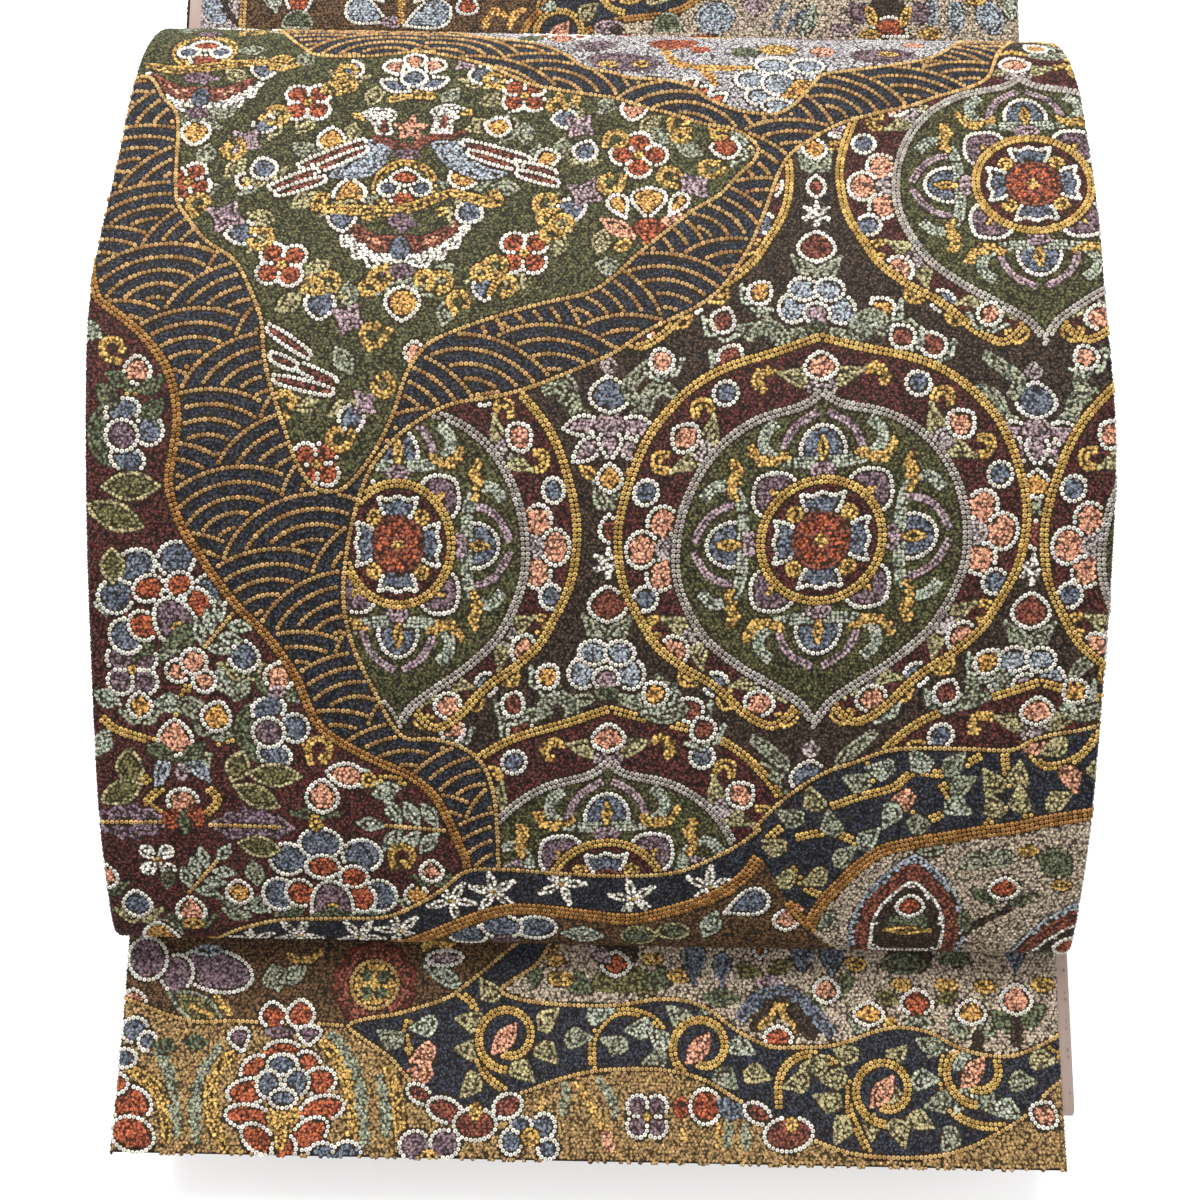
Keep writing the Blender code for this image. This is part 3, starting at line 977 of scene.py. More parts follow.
ROSETTE_CUP = (
    (-4, 8), (4, 8), (5.6, 10.4), (6.6, 14.2), (3.2, 13.2), (0, 14.6), (-3.2, 13.2), (-6.6, 14.2),
    (-5.6, 10.4),
)

# How many points of the smoothed ring lie above its curled ends.
RING_FOOT = 17 * 8

# The motifs between the two rings: each row is (motif, to the right, up), and is sewn on both sides.
RING_MOTIFS = (
    ("blue", 29, 45.5), ("salmon", 41, 32.5), ("blue", 53, 17), ("trefoil", 50, 0), ("blue", 52.5, -15),
    ("salmon", 43, -31), ("blue", 30.5, -42.5), ("salmon", 17, -49),
)
RING_PATCHES = {
    "blue": (("round", "blue", "white", ((0, 0, 7.6, 7.2),)),),
    "trefoil": (
        ("round", "salmon", "white", ((-8, -2, 9.4, 9), (8, -2, 9.4, 9), (0, 4, 11, 9.6))),
        ("round", "lilac", "", ((0, -4.2, 7.4, 8.6),)),
    ),
    "salmon": (
        ("drop", "moss", "", ((-6.2, -4.6, 5.6, 10.5, 62), (6.2, -4.6, 5.6, 10.5, -62))),
        ("round", "lilac", "", ((0, -6.2, 6.5, 6.5),)),
        ("bud", "salmon", "white", ((0, 0.6, 9.2, 8.6),)),
    ),
}


def ring_motif(needle, kind):
    """One of the small motifs between the gold ring and the inner one, growing outward."""
    patches(needle, RING_PATCHES[kind])
    if kind == "salmon":
        for side in (-1, 1):
            hook = smooth(np.array(((6.5, 1.5), (9.5, 4), (12, 1.5), (11, -1.5))) * (side, 1))
            needle.fill(ribbon(hook, 3, 0.7), "gold")


def disc_quarter(needle):
    """A blue half bud framed by mauve and pale green arcs; the medallion has one in each direction."""
    for side in (-1, 1):
        mauve = np.array(((1.4, 38.6), (8.3, 34.3), (11.6, 28.4), (11.2, 23.8)))
        needle.string(smooth(mauve * (side, 1)), "mauve", 2)
        green = np.array(((13.8, 36), (17.5, 32.4), (17.2, 27.8), (12.4, 24.4), (6, 23.8)))
        needle.string(smooth(green * (side, 1)), "pale_sage", 3)
    needle.string(((-9, 23.6), (0, 23.4), (9, 23.6)), "pale_sage", 3)
    needle.fill(circle(0, 0, 0.5) * (8, 5) + (0, 21.2), "mauve")
    half = ((6.6, 25.4), (6.6, 28.6), (4.2, 32.8), (0, 34.5))
    dome = smooth([(-u, v) for u, v in half] + list(half[-2::-1]))
    needle.fill(dome, "blue", own_edge=False)
    needle.string(dome, "white")
    needle.fill(leaf(7.5, 3.6) + (0, 24), "gold")


def disc_corner(needle):
    """A purple petal on the inner ring, with a gold foot, on a diagonal."""
    side = np.array(((5, 16.2), (7, 18.6), (6.8, 22), (4.2, 25.2)))
    heart = np.vstack((side * (-1, 1), (0, 27.4), side[::-1]))
    needle.fill(heart, "purple")
    needle.string(smooth(heart), "white")
    needle.fill(drop(6, 4.6) + (0, 16), "gold")


def medallion(needle):
    """A round flower medallion: a gold ring with curled ends, an inner ring drawn to two points, a disc of
    buds and a rosette in the middle."""
    right = smooth(RING_HALF)
    left = (right * (-1, 1))[::-1]
    needle.fill(np.vstack((right[:RING_FOOT], (0, -56), left[-RING_FOOT:])), "burgundy", own_edge=False)
    for kind, x, y in RING_MOTIFS:
        for mirrored in (False, True):
            spot = needle.at(0, 0, mirrored=mirrored).at(x, y, 1.0, -math.degrees(math.atan2(x, y)))
            ring_motif(spot, kind)
    patches(needle, TOP_BUD)
    for side in (-1, 1):
        bars(needle, (("gold", "", 3.2, (np.array(TOP_HOOK) * (side, 1),)),))
    needle.string(right, "gold_ring", 2)
    needle.string(left, "gold_ring", 2)
    half = smooth(OGEE_HALF)
    needle.fill(np.vstack((half, (half * (-1, 1))[::-1][1:-1])), "olive", "lilac_ring", 2)
    quarters = [needle.at(0, 0, turn=90 * quarter) for quarter in range(4)]
    for quarter in quarters:
        disc_quarter(quarter)
    for across in (-1, 1):
        for up in (-1, 1):
            bars(needle, (("gold", "", 3.6, np.array(DISC_HOOKS) * (across, up)),))
    for quarter in range(4):
        disc_corner(needle.at(0, 0, turn=45 + 90 * quarter))
    needle.fill(circle(0, 0, 19.4, 48), "burgundy", own_edge=False)
    needle.string(np.vstack((circle(0, 0, 18.3, 48), (18.3, 0))), "gold_ring", 2)
    for quarter in quarters:
        quarter.fill(moved(circle(0, 0, 0.5) * (5.4, 5), *turned((0, 11.6), 45), 45), "gold")
    for quarter in quarters:
        quarter.fill(ROSETTE_CUP, "blue", "white")
    needle.fill(circle(0, 0, 8.9, 30), "brick")
    for index in range(8):
        needle.fill(turned(petal(5.6, 3.8) + (0, 2.6), 45 * index), "red", own_edge=False)
    needle.fill(circle(0, 0, 1.8), "gold", own_edge=False)


JUNCTION_PATCHES = (
    ("leaf", "mauve", "white", (
        (-8, 31.5, 6, 12, 100), (8, 31.5, 6, 12, -100), (-6.5, 24.5, 6, 12, 130), (6.5, 24.5, 6, 12, -130),
    )),
    ("drop", "mauve", "white", ((0, 25.5, 7, 9, 180),)),
    ("bud", "mauve", "", ((0, 32.5, 9, 8),)),
    ("bud", "blue", "white", ((0, 41, 12, 11),)),
    ("bud", "lilac", "", ((0, 50, 5.5, 5.5),)),
    ("leaf", "gold", "", ((-6.5, 17.5, 4, 6.5, 60), (6.5, 17.5, 4, 6.5, -60))),
    ("drop", "sage", "", ((-3.2, 10.8, 5, 9.5, 24), (3.2, 10.8, 5, 9.5, -24))),
    ("bud", "amber_fill", "white", ((0, 16, 7.6, 8.4),)),
    ("bud", "brick", "white", ((0, 0.8, 5.6, 8.4),)),
    ("leaf", "white_fill", "", ((0, -9.5, 3.4, 9.5), (0, -9.5, 3.4, 9.5, 60), (0, -9.5, 3.4, 9.5, -60))),
    ("drop", "sage", "", ((-4.2, -29.5, 6, 11, 40), (4.2, -29.5, 6, 11, -40))),
    ("bud", "brick", "white", ((0, -22, 11.5, 11),)),
    ("round", "light_blue", "white", (
        (-7.4, -43.5, 8.4, 9.5), (7.4, -43.5, 8.4, 9.5), (-4, -37, 9, 7.6), (4, -37, 9, 7.6),
    )),
    ("round", "mauve", "white", ((0, -45, 8, 7),)),
    ("round", "leaf_green", "", ((0, -49.5, 7, 4.6),)),
)
JUNCTION_LEAVES = (
    ((6, 34), (10, 36), (12, 41), (16, 43.5), (20, 41)),
    ((4, -51), (11, -52.5), (15.5, -49), (16.5, -44)),
)


def junction(needle):
    """What stands between two medallions: a star palmette, small buds and a grey palmette below them."""
    for side in (-1, 1):
        bars(needle, (("sage", "", 5, [np.array(path) * (side, 1) for path in JUNCTION_LEAVES]),))
    patches(needle, JUNCTION_PATCHES)


FIELD_BUDS = (
    (-27, 56.5, "brick", -36, 1), (25, 60.5, "brick", 36, 1), (40, -48.5, "brick", -25, 1),
    (-34, -56.5, "brick", 25, 1), (-49, -44.5, "amber_fill", 40, 1), (52, -39.5, "amber_fill", -40, 1),
    (-48, 56.5, "salmon", 20, 0.95), (52, 66.5, "salmon", -20, 0.95),
)
FIELD_SCROLLS = (
    ((-22, 62), (-16, 66), (-11, 62), (-13, 57)), ((22, 64), (16, 68), (11, 64), (13, 58)),
    ((-19, -60), (-14, -64), (-9, -69), (-12, -74)), ((19, -60), (14, -64), (9, -69), (12, -74)),
    ((-53, -50), (-45, -52), (-39, -49)), ((53, -50), (45, -52), (39, -49)),
)


def lattice_cell(needle):
    """A medallion with the small buds and scrolled leaves that fill the ground round it."""
    bars(needle, (("sage", "", 4.6, FIELD_SCROLLS),))
    for x, y, thread, turn, size in FIELD_BUDS:
        bud(needle.at(x, y, 0.8 * size, turn), thread, cup="pale_sage")
    medallion(needle)


def vine_leaf(needle, thread="pale_sage"):
    """An uneven three-cornered leaf, placed by its middle."""
    needle.fill(corner_leaf(11.0, 9.5), thread)


# ---------------------------------------------------------------- waves, scrolls and other bands

# The waves: a disc's size and rings, how far apart discs lie, and the squares that tell where one is needed.
WAVE_RADIUS = 25
WAVE_RINGS = 5
WAVE_ACROSS = 43
WAVE_RISE = 12.5
WAVE_CELL = 12
WAVE_SQUASH = (1.12, 0.9)


def waves(chart, degrees):
    """Overlapping wave scales over all that may be drawn on: rows of low discs ringed with gold.

    Each row lies half a scale along and hides the lower part of the one behind it.
    """
    rows, columns = np.nonzero(chart.mask)
    corners = np.column_stack((columns * CELL - EDGE_U, rows * CELL + chart.low))
    local = turned(corners, -degrees)
    (low_x, low_y), (high_x, high_y) = local.min(0) - WAVE_RADIUS, local.max(0) + WAVE_RADIUS
    coarse = {(int(x // WAVE_CELL), int(y // WAVE_CELL)) for x, y in local}
    near = range(-3, 4)
    for row, y in enumerate(np.arange(high_y, low_y, -WAVE_RISE)):
        for x in np.arange(low_x + (row % 2) * WAVE_ACROSS / 2, high_x, WAVE_ACROSS):
            column, line = int(x // WAVE_CELL), int(y // WAVE_CELL)
            if not any((column + i, line + j) in coarse for i in near for j in near):
                continue
            place = turned((x + rng.normal(0, 1.5), y + rng.normal(0, 1.0)), degrees)
            needle = Needle(chart, *place, turn=degrees + rng.normal(0, 3))
            needle.fill(circle(0, 0, WAVE_RADIUS, 28) * WAVE_SQUASH, "navy", own_edge=False)
            for ring in range(WAVE_RINGS):
                radius = WAVE_RADIUS * (1 - ring / WAVE_RINGS)
                needle.string(arc(0, 0, radius, -35, 215, 30) * WAVE_SQUASH, "wave_gold")


def scroll(needle, radius=10.5):
    """A gold vine that winds clockwise into a spiral from its foot, with a salmon leaf in the middle."""
    t = np.linspace(0, 1, 44)
    angle = np.radians(-90 - 395 * t)
    reach = radius * (1 - 0.5 * t**1.3)
    needle.string(np.column_stack((reach * np.cos(angle), reach * np.sin(angle))), "gold_ring", 2)
    needle.fill(moved(leaf(12.5, 6.4) - (0, 6.2), -1.2, -0.6, -38), "salmon")


def vine_leaves(chart, places, centres):
    """Three-cornered leaves at (thread, u, v), each pointing away from the nearest scroll's middle."""
    for thread, u, v in places:
        middle = min(centres, key=lambda spot: math.dist(spot[:2], (u, v)))
        turn = math.degrees(math.atan2(v - middle[1], u - middle[0])) - 90 + rng.uniform(-30, 30)
        vine_leaf(Needle(chart, u, v, 0.74, turn), thread)


def leafy_vine(chart, path):
    """A gold vine along a path."""
    chart.string(smooth(path), "gold_ring", 2)


def cross_sprig(needle):
    """A white sprig of five thin leaves round a small gold heart."""
    for turn in (0, 66, -66, 138, -138):
        needle.fill(turned(leaf(8.6, 3.4), turn), "white_fill")
    needle.fill(circle(0, 0, 0.9), "gold")


ARCH_HALF = ((7, 15), (14, 7), (18, -3), (18.5, -14), (15, -24))
ARCH_LAYERS = (
    (1, 0, "light_blue"), (0.88, -1, "brick"), (0.64, -2, "white_fill"), (0.53, -2.4, "dark_brown"),
)


def nested_drops(needle):
    """Pointed arches one inside the other round a red bud, placed by the bud's middle."""
    right = np.array(ARCH_HALF)
    outline = smooth(np.vstack(((0, 20), right, (right * (-1, 1))[::-1])), closed=True)
    for size, low, thread in ARCH_LAYERS:
        needle.fill(outline * size + (0, low), thread)
    patches(needle, (
        ("round", "leaf_green", "", ((0, -4.5, 13, 8),)),
        ("bud", "red", "white", ((0, 1.5, 8.6, 8),)),
        ("leaf", "gold", "", ((0, -8, 3.4, 15, 90),)),
    ))


# ---------------------------------------------------------------- the drum's chart

# The zones of the drum's face, each a round of (u, v), and the lines that two of them share.
SPRIG_TOP = ((-118, 3.5), (-105, 8.5), (-95, 10), (-80, 10.5), (-66, 11.5), (-55, 17), (-48, 22))
SCROLL_TOP = (
    (33, 33), (45, 40), (55, 52), (64, 60), (72, 65), (80, 68), (90, 72), (100, 73), (115, 73), (128, 73),
    (134, 76), (140, 78), (150, 80), (162, 84),
)
BEIGE_TOP = (
    (70, 12), (73, 20), (78, 27), (83, 33), (90, 39), (100, 42), (110, 44), (120, 46), (130, 47.5),
    (140, 50), (150, 52), (162, 54),
)
BROWN_TOP = (
    (-75, -8), (-64, -2), (-52, 4.5), (-40, 10.5), (-30, 14.5), (-20, 15.5), (0, 13.5), (12, 12.5),
    (25, 16), (38, 21.5), (47, 28.5), (52, 36),
)
FLORAL_ZONE = (
    (-162, 214), (-152, 206), (-144, 200), (-137, 194), (-131, 186), (-128, 178), (-127, 168),
    (-128.5, 158), (-129.5, 150), (-127, 140), (-122, 131), (-116, 122), (-109, 113), (-101, 105),
    (-95, 97), (-91, 90), (-88, 82), (-84, 75.5), (-76, 70), (-66, 65), (-57, 61), (-50, 55), (-46, 48),
    (-42, 38), (-40, 30),
) + SPRIG_TOP[::-1] + ((-128, -4), (-140, -10), (-162, -14))
OLIVE_ZONE = (
    (-162, 297), (-150, 292), (-144, 283), (-139, 277), (-137, 268), (-136, 258), (-135, 250), (-133, 241),
    (-128, 234), (-122, 227), (-112, 220), (-106, 210), (-102, 200), (-101, 190), (-99, 180), (-95, 168),
    (-91, 157), (-86, 150), (-80, 148.5), (-75, 151), (-68, 160), (-62, 172), (-58, 184), (-52, 193),
    (-43, 198), (-30, 203), (-16, 207.5), (-3, 211), (5, 217), (12, 225), (20, 233), (28, 241), (36, 247),
    (42, 255), (47, 261), (48.5, 266), (46, 270), (40, 274), (30, 276), (20, 280), (13, 282), (3, 286),
    (-8, 288), (-18, 290), (-25, 292), (-32, 296), (-38, 300), (-44, 303), (-55, 307), (-63, 309),
    (-70, 307.5), (-80, 305.5), (-90, 305), (-98, 306), (-102, 310), (-108, 318), (-120, 340), (-140, 354),
    (-162, 362),
)
CLOUD_ZONE = (
    (-86, 398), (-76, 366), (-62, 341), (-50, 328), (-40, 322), (-30, 319), (-22, 315), (-14, 308),
    (-8, 301), (2, 298), (8, 295.5), (18, 295), (27, 292), (32, 287), (38, 283.5), (45, 281), (54, 280.5),
    (60, 284), (66, 292), (71, 299), (82, 302), (95, 305.5), (105, 309), (112, 314), (118, 323), (124, 335),
    (132, 358), (138, 382), (140, 402),
)
FIELD_ZONE = (
    (-28, 30), (-30, 42), (-31, 54), (-34, 64), (-40, 70), (-50, 73), (-58, 73), (-63, 78), (-67, 86),
    (-71, 94), (-75, 104), (-77, 116), (-76, 130), (-73, 144), (-69, 155), (-63, 163), (-56, 169),
    (-45, 175), (-30, 178), (-20, 181), (-8, 186), (5, 192), (15, 199), (30, 207), (38, 214), (45, 226),
    (50, 240), (54, 254), (58, 263), (64, 269), (75, 277), (88, 282), (100, 286), (108, 290), (118, 294),
    (125, 299), (128, 306), (131, 314), (136, 324), (144, 336), (162, 346),
) + SCROLL_TOP[::-1] + ((25, 30), (10, 28.5), (-10, 29))
SCROLL_ZONE = SCROLL_TOP + BEIGE_TOP[::-1] + ((62, 20), (52, 36), (47, 28.5), (38, 24))
SPRIG_ZONE = ((-140, -10), (-128, -6)) + SPRIG_TOP + (
    (-40, 29), (-28, 30), (-10, 29), (10, 28.5), (25, 30), (33, 33), (45, 40), (52, 46),
) + BROWN_TOP[::-1] + ((-104, -14),)
SPRIG_PLACES = (
    (-31.5, 21.5, 10), (-10, 25, -20), (13, 20, 15), (37, 25, 0), (-45, 18, -30), (-62, 6, 20),
    (-75, 3, -30), (-95, 3, 40), (-110, 0, 80),
)
BEIGE_ZONE = ((70, -12), (69, 0)) + BEIGE_TOP + ((162, -11),)
BROWN_ZONE = ((-104, -15),) + BROWN_TOP + ((62, 20), (70, 10), (70, -12))

# What is sewn in each zone. A motif's place is (u, v), then a size and a turn where it has them; a patch's is
# (u, v, width, height), then a turn; a bar's is the path of its middle.
OLIVE_MOTIFS = (
    ("jewel_ring", ((-134.5, 307, 1.05),)),
    ("winged_palmette", ((-132, 286, 0.95),)),
    ("jewel_ring", ((-63, 249.5),)),
    ("winged_palmette", ((-62, 228),)),
    ("four_red", (
        (-27, 287, 0.95), (-97, 282.5, 1, 3), (-97.5, 219, 0.98, -5), (-23.5, 224.5), (-85, 156.5, 0.9, 5),
        (10.5, 262.5, 1.05, 45), (-131, 249, 0.9, 20),
    )),
    ("amber_bud", (
        (-88, 267.5, 0.9), (-80, 246, 1.05, 10), (-44.5, 253.5), (-35, 273.5, 0.8, 80),
        (-18.5, 261, 0.75, -80), (-59.5, 206.5, 1.1, 180), (-131.5, 268.5, 0.95, 180),
        (-113, 250, 0.65, 60),
    )),
    ("blue_bud", (
        (-84.5, 298, 0.85, -10), (-41.5, 296.5, 0.85), (-13.5, 277, 0.8, 95), (-110, 273, 0.75, 90),
        (-81, 236, 0.9, 190), (-41.5, 239, 0.85, -120), (-84.5, 205.5, 0.95, 180), (-34.5, 212, 0.8, 180),
        (-74.5, 170, 0.8, 190), (-6.5, 264, 0.8, -20), (-10, 240.5, 0.9, -70), (-108, 255, 0.85, 20),
        (-111.5, 230, 0.9, 100), (-113, 297, 0.9, 180),
    )),
    ("salmon_bud", ((8.5, 281, 0.85, 170), (-55.5, 191, 0.65))),
    ("red_bud", ((38, 266, 0.9, 90),)),
    ("mauve_star", (
        (-47, 302.5, 0.8), (-8.5, 274, 1, 10), (28, 250.5, 1.1), (-6, 247, 1.1, 20), (-75.5, 201, 1, 20),
        (-70.5, 175, 0.8), (-115, 266, 1, 10), (-117, 236, 1.15, 25),
    )),
    ("hook", (
        (-107, 301.5, 1, 110), (-107, 276, 1, -40), (-36, 294, 0.9, 60), (-67.5, 197, 1, 140),
        (-65.5, 181, 0.8, 200), (-94, 174, 0.9, 40), (-78, 165, 0.9, 150), (3, 268, 0.9, -20),
        (34, 258, 0.9, 120), (21, 254, 0.9, 60), (2, 252, 1, 160), (-126, 240, 0.9, 30),
        (-119, 263, 0.9, 200), (-42, 207, 0.8, 20), (-29, 212, 0.9, -30), (-106, 228, 0.9, -100),
    )),
    ("fork", (
        (-86, 295, 0.8, 60), (-88, 289, 0.9), (-14.5, 284, 0.9, 20), (24, 273, 0.9, 80), (36, 274, 0.8, 80),
        (-17, 240, 1, 80), (-14, 233, 0.9, 30), (-85, 212, 0.9), (-68, 213, 0.9, 30), (-51, 214, 0.9, -30),
        (-34, 218, 0.9, 10),
    )),
    ("salmon_bud", ((-40, 315.9, 0.9),)),
    ("four_red", ((-130, 338.8, 1, 10),)),
    ("blue_bud", ((-112, 332.2, 1, 30),)),
    ("hook", ((-122, 323.3),)),
    ("amber_bud", ((-150, 343.4, 1, 20),)),
)
OLIVE_LEAVES = (
    (-100.3, 303.5), (-97, 273.5), (-96, 263), (-82, 270), (-26, 271), (-41, 274), (-14, 265), (-94, 243),
    (-31, 249), (-94, 206), (-76, 209), (-86.5, 218), (-46, 204), (-24, 215), (-48, 217), (0, 229),
    (3, 220), (-13, 228), (-77, 188), (-88, 175), (0, 283), (14, 275.5), (18, 270.5), (45, 266),
    (26.5, 265), (-122, 294), (-127, 260), (-117, 255), (-125, 246), (-106, 236), (-119, 308), (-76, 286),
    (-51, 286), (-37, 285), (-145, 326),
)
OLIVE_PATCHES = (
    ("petal", "salmon", "white", ((-57.5, 300, 7, 8.5, -28), (-70, 299, 7, 8.5, 28), (-64, 302, 7.4, 10))),
    ("leaf", "blue", "white", ((-69.5, 290.5, 5.4, 11, 66), (-57, 292, 5.4, 11, -66))),
    ("bud", "blue", "white", ((-63.5, 294.5, 8.4, 8.4),)),
    ("leaf", "salmon", "", ((5, 234, 6, 13, 58), (22, 237, 6, 13, -52))),
    ("petal", "amber_fill", "white", (
        (5, 242, 6.4, 9.5, 26), (23, 243, 5.4, 9.5, -30), (14, 243.5, 11, 12),
    )),
    ("drop", "red", "", ((14.5, 233, 9.4, 9.4, 180),)),
    ("star5", "salmon", "", ((-63, 272.5, 11, 10),)),
    ("round", "purple", "", (
        (-63.5, 262, 9, 4.4), (-63, 236, 8, 5), (-135, 292.5, 8, 5), (-132, 277, 7, 5), (-136, 321, 8, 5),
        (-60.5, 217.5, 8, 5.4),
    )),
)
OLIVE_BARS = (
    ("gold", "", 4.2, (
        ((-90, 240), (-76, 239.5), (-63, 240), (-48, 247)), ((-90, 239), (-89, 244), (-86, 244)),
        ((-48, 247), (-34, 243), (-35, 248)), ((-74, 236), (-72, 239)), ((-50, 238), (-51, 241)),
        ((-152, 298), (-140, 296), (-122, 300), (-108, 301)), ((-108, 301), (-106, 304)),
        ((-71, 284), (-66, 286.5), (-61, 287), (-56, 286)), ((5, 226), (9, 229.5)),
        ((14, 228), (15, 231.5)),
    )),
    ("sage", "", 4.4, (((-134, 274), (-130, 277), (-123, 277), (-121, 280)),)),
    ("brick", "white", 3.4, (
        ((-97, 256), (-77, 267)), ((-94, 253.5), (-76, 264)), ((-105, 247), (-91, 255)),
        ((-103, 245), (-88, 251.5)), ((-46, 267), (-24, 260)), ((-44, 263), (-28, 257)),
        ((-26, 258), (-15.5, 254.5)), ((-28, 255), (-14.5, 250.5)), ((-100, 198), (-87, 189)),
        ((-92, 186.5), (-79, 181)), ((-98, 182), (-80, 178)), ((-99, 189), (-91, 185.5)),
    )),
    ("brick", "", 3, (((-76, 269), (-66, 265), (-61, 263)), ((-61, 264), (-58, 268), (-44, 271)))),
)
BIRD_BODIES = (
    (
        (-79, 268.5), (-72, 267), (-68.5, 264), (-70, 258), (-74, 253), (-80, 251.5), (-87, 252),
        (-86, 255), (-80, 260), (-75, 265),
    ),
    (
        (-56, 268), (-47, 267.5), (-45, 262), (-38, 257), (-31, 255), (-34, 252.5), (-40, 252),
        (-46, 254.5), (-52, 259),
    ),
)
BIRD_HEADS = (
    (
        (-79, 279), (-76, 281), (-71, 281), (-68, 279.5), (-67.5, 277), (-69.5, 275), (-68.5, 270),
        (-73.5, 269.5), (-75.5, 274),
    ),
    (
        (-46, 281), (-49, 283), (-54, 283), (-57.5, 280), (-55.5, 276.5), (-56.5, 270.5), (-49.5, 270.5),
        (-49.5, 276), (-46.5, 278),
    ),
)
BIRD_PATCHES = (
    ("block", "brick", "", ((-71.6, 273, 1.8, 4.6), (-52.4, 275.5, 1.8, 4.6))),
    ("leaf", "gold", "", ((-80.3, 277.2, 3, 4.6, 60), (-45.3, 279.5, 3, 4.6, -60))),
)
FLORAL_MOTIFS = (
    ("four_purple", ((-142, 93, 0.95),)),
    ("blue_bud", ((-107.5, 98, 0.95),)),
    ("salmon_bud", ((-97, 92, 0.9, -20),)),
    ("amber_bud", ((-140, 82, 0.78), (-116.5, 79, 0.95, -20))),
    ("side_bloom", ((-98, 74.5),)),
    ("salmon_bud", ((-129.5, 72, 1.1),)),
    ("sprig_long", ((-57, 44, 1.15, 86),)),
    ("hook", ((-85, 68),)),
    ("peony", ((-84, 25, 1.12),)),
    ("white_star", ((-137.5, 31, 1.1),)),
    ("sprig_long", ((-123, 26, 0.95, -40),)),
    ("salmon_bud", ((-128.5, 13, 0.95),)),
    ("amber_bud", ((-112.5, 20, 0.85),)),
    ("blue_bud", ((-145.5, 15, 0.95),)),
    ("salmon_bud", ((-155, 25, 0.9),)),
    ("amber_bud", ((-140, 2, 1.15),)),
    ("hook", ((-60, 33),)),
    ("amber_bud", ((-56, 20, 0.8),)),
    ("hook", ((-146, 190, 0.9, 60),)),
    ("salmon_bud", ((-139, 184, 0.85),)),
    ("side_bloom", ((-141, 164.5),)),
    ("peony", ((-133, 115, 1.05, 28),)),
    ("sprig_long", ((-115, 106, 0.95, -40),)),
    ("salmon_bud", ((-51, 29, 0.75),)),
    ("serrated", ((-145, 44.2, 0.98, 91), (-107, 43.5, 1, -91))),
)
FLORAL_LEAVES = (
    (-130, 98), (-131, 83), (-125, 82), (-114, 90), (-109, 88), (-102, 91), (-93, 87), (-64.5, 56),
    (-114, 12), (-107, 15), (-107, 27), (-150, 114), (-154, 196), (-152, 70), (-122, 64), (-71, 60),
    (-136, 6), (-150, 84),
)
FLORAL_PATCHES = (
    ("round", "salmon", "white", ((-128, 93, 7.4, 7), (-120, 90, 7, 7), (-123, 96, 8, 8))),
    ("leaf", "leaf_olive", "moss", (
        (-144, 62, 8, 12), (-147, 54, 7, 14, 115), (-110.5, 63, 7, 10, -20), (-99, 60.5, 7, 16, -92),
        (-105, 53.5, 6.4, 15, -116), (-105, 36.5, 7, 13, -100), (-141, 149, 8, 17, -88),
        (-146, 140, 8, 18, -110), (-147, 125, 7, 10),
    )),
    ("leaf", "light_blue", "", ((-134, 61.5, 5, 11, 160), (-122.5, 62, 5, 11, -140))),
    ("leaf", "leaf_green", "", (
        (-134, 67.5, 5, 9, 60), (-124, 67.5, 5, 9, -60), (-134.5, 172, 6, 9, -50), (-148, 176, 6, 9, 40),
        (-145, 181, 5, 8, 60), (-135, 179, 5, 8, -60), (-135, 24.5, 5, 8, 170), (-157, 102, 6, 11),
    )),
    ("round", "salmon", "white", ((-128, 51.5, 9.6, 8),)),
    ("round", "red", "", ((-132, 45.5, 5.6, 7), (-124.3, 46.4, 5.6, 7))),
    ("leaf", "leaf_green", "", ((-128, 44.5, 3.6, 8), (-87, 48, 4.4, 15, 90))),
    ("bud", "salmon", "white", ((-84.5, 54, 10, 11), (-77, 61, 7.6, 12, 80))),
    ("round", "mauve", "", ((-98, 87, 6, 4), (-128, 61, 4, 6))),
    ("round", "gold", "", ((-87, 45, 4, 6), (-128.5, 7.5, 7, 4.4), (-70, 59.5, 5, 5))),
)
FLORAL_STEMS = (
    ((-152, 78), (-147, 74), (-134, 70)), ((-130, 79), (-126, 86), (-124, 92)),
    ((-113, 86), (-109, 90), (-107.5, 94)), ((-117, 70.5), (-112, 72), (-107, 73.5)),
    ((-70, 59.5), (-64, 60), (-58, 59)), ((-134, 56), (-139, 51), (-135, 47)),
    ((-120, 56), (-117, 52), (-121, 47)), ((-143, 177), (-141, 173), (-140, 179)),
    ((-112.5, 10), (-112, 14)), ((-138, 57), (-142, 62)),
)
CLOUD_MOTIFS = (
    ("gold_patch", ((-46, 339.4, 1.4), (36, 334, 1.4))),
    ("purple_patch", ((74, 336, 1.5),)),
    ("four_purple", ((60, 352, 1.1),)),
    ("lotus_red", ((96, 350, 1.2),)),
    ("peony", ((20, 362.6, 1.1), (112, 382.2))),
    ("sage", ((40, 349, 1.2, 60), (-6, 352.1, 1.2, -60))),
    ("hook", ((-30, 359.6, 1.2),)),
    ("blue_bud", ((-52, 367.2, 1.1),)),
    ("salmon_bud", ((70, 377.5, 1.1),)),
    ("sage", ((84, 389.7, 1.2, 30),)),
    ("amber_bud", ((-20, 381.7, 1.1),)),
    ("sprig_long", ((-62, 381, 1.1),)),
    ("serrated", ((44, 384.9, 1, 80),)),
    ("lotus_red", ((-16, 334, 1.1, 180),)),
)
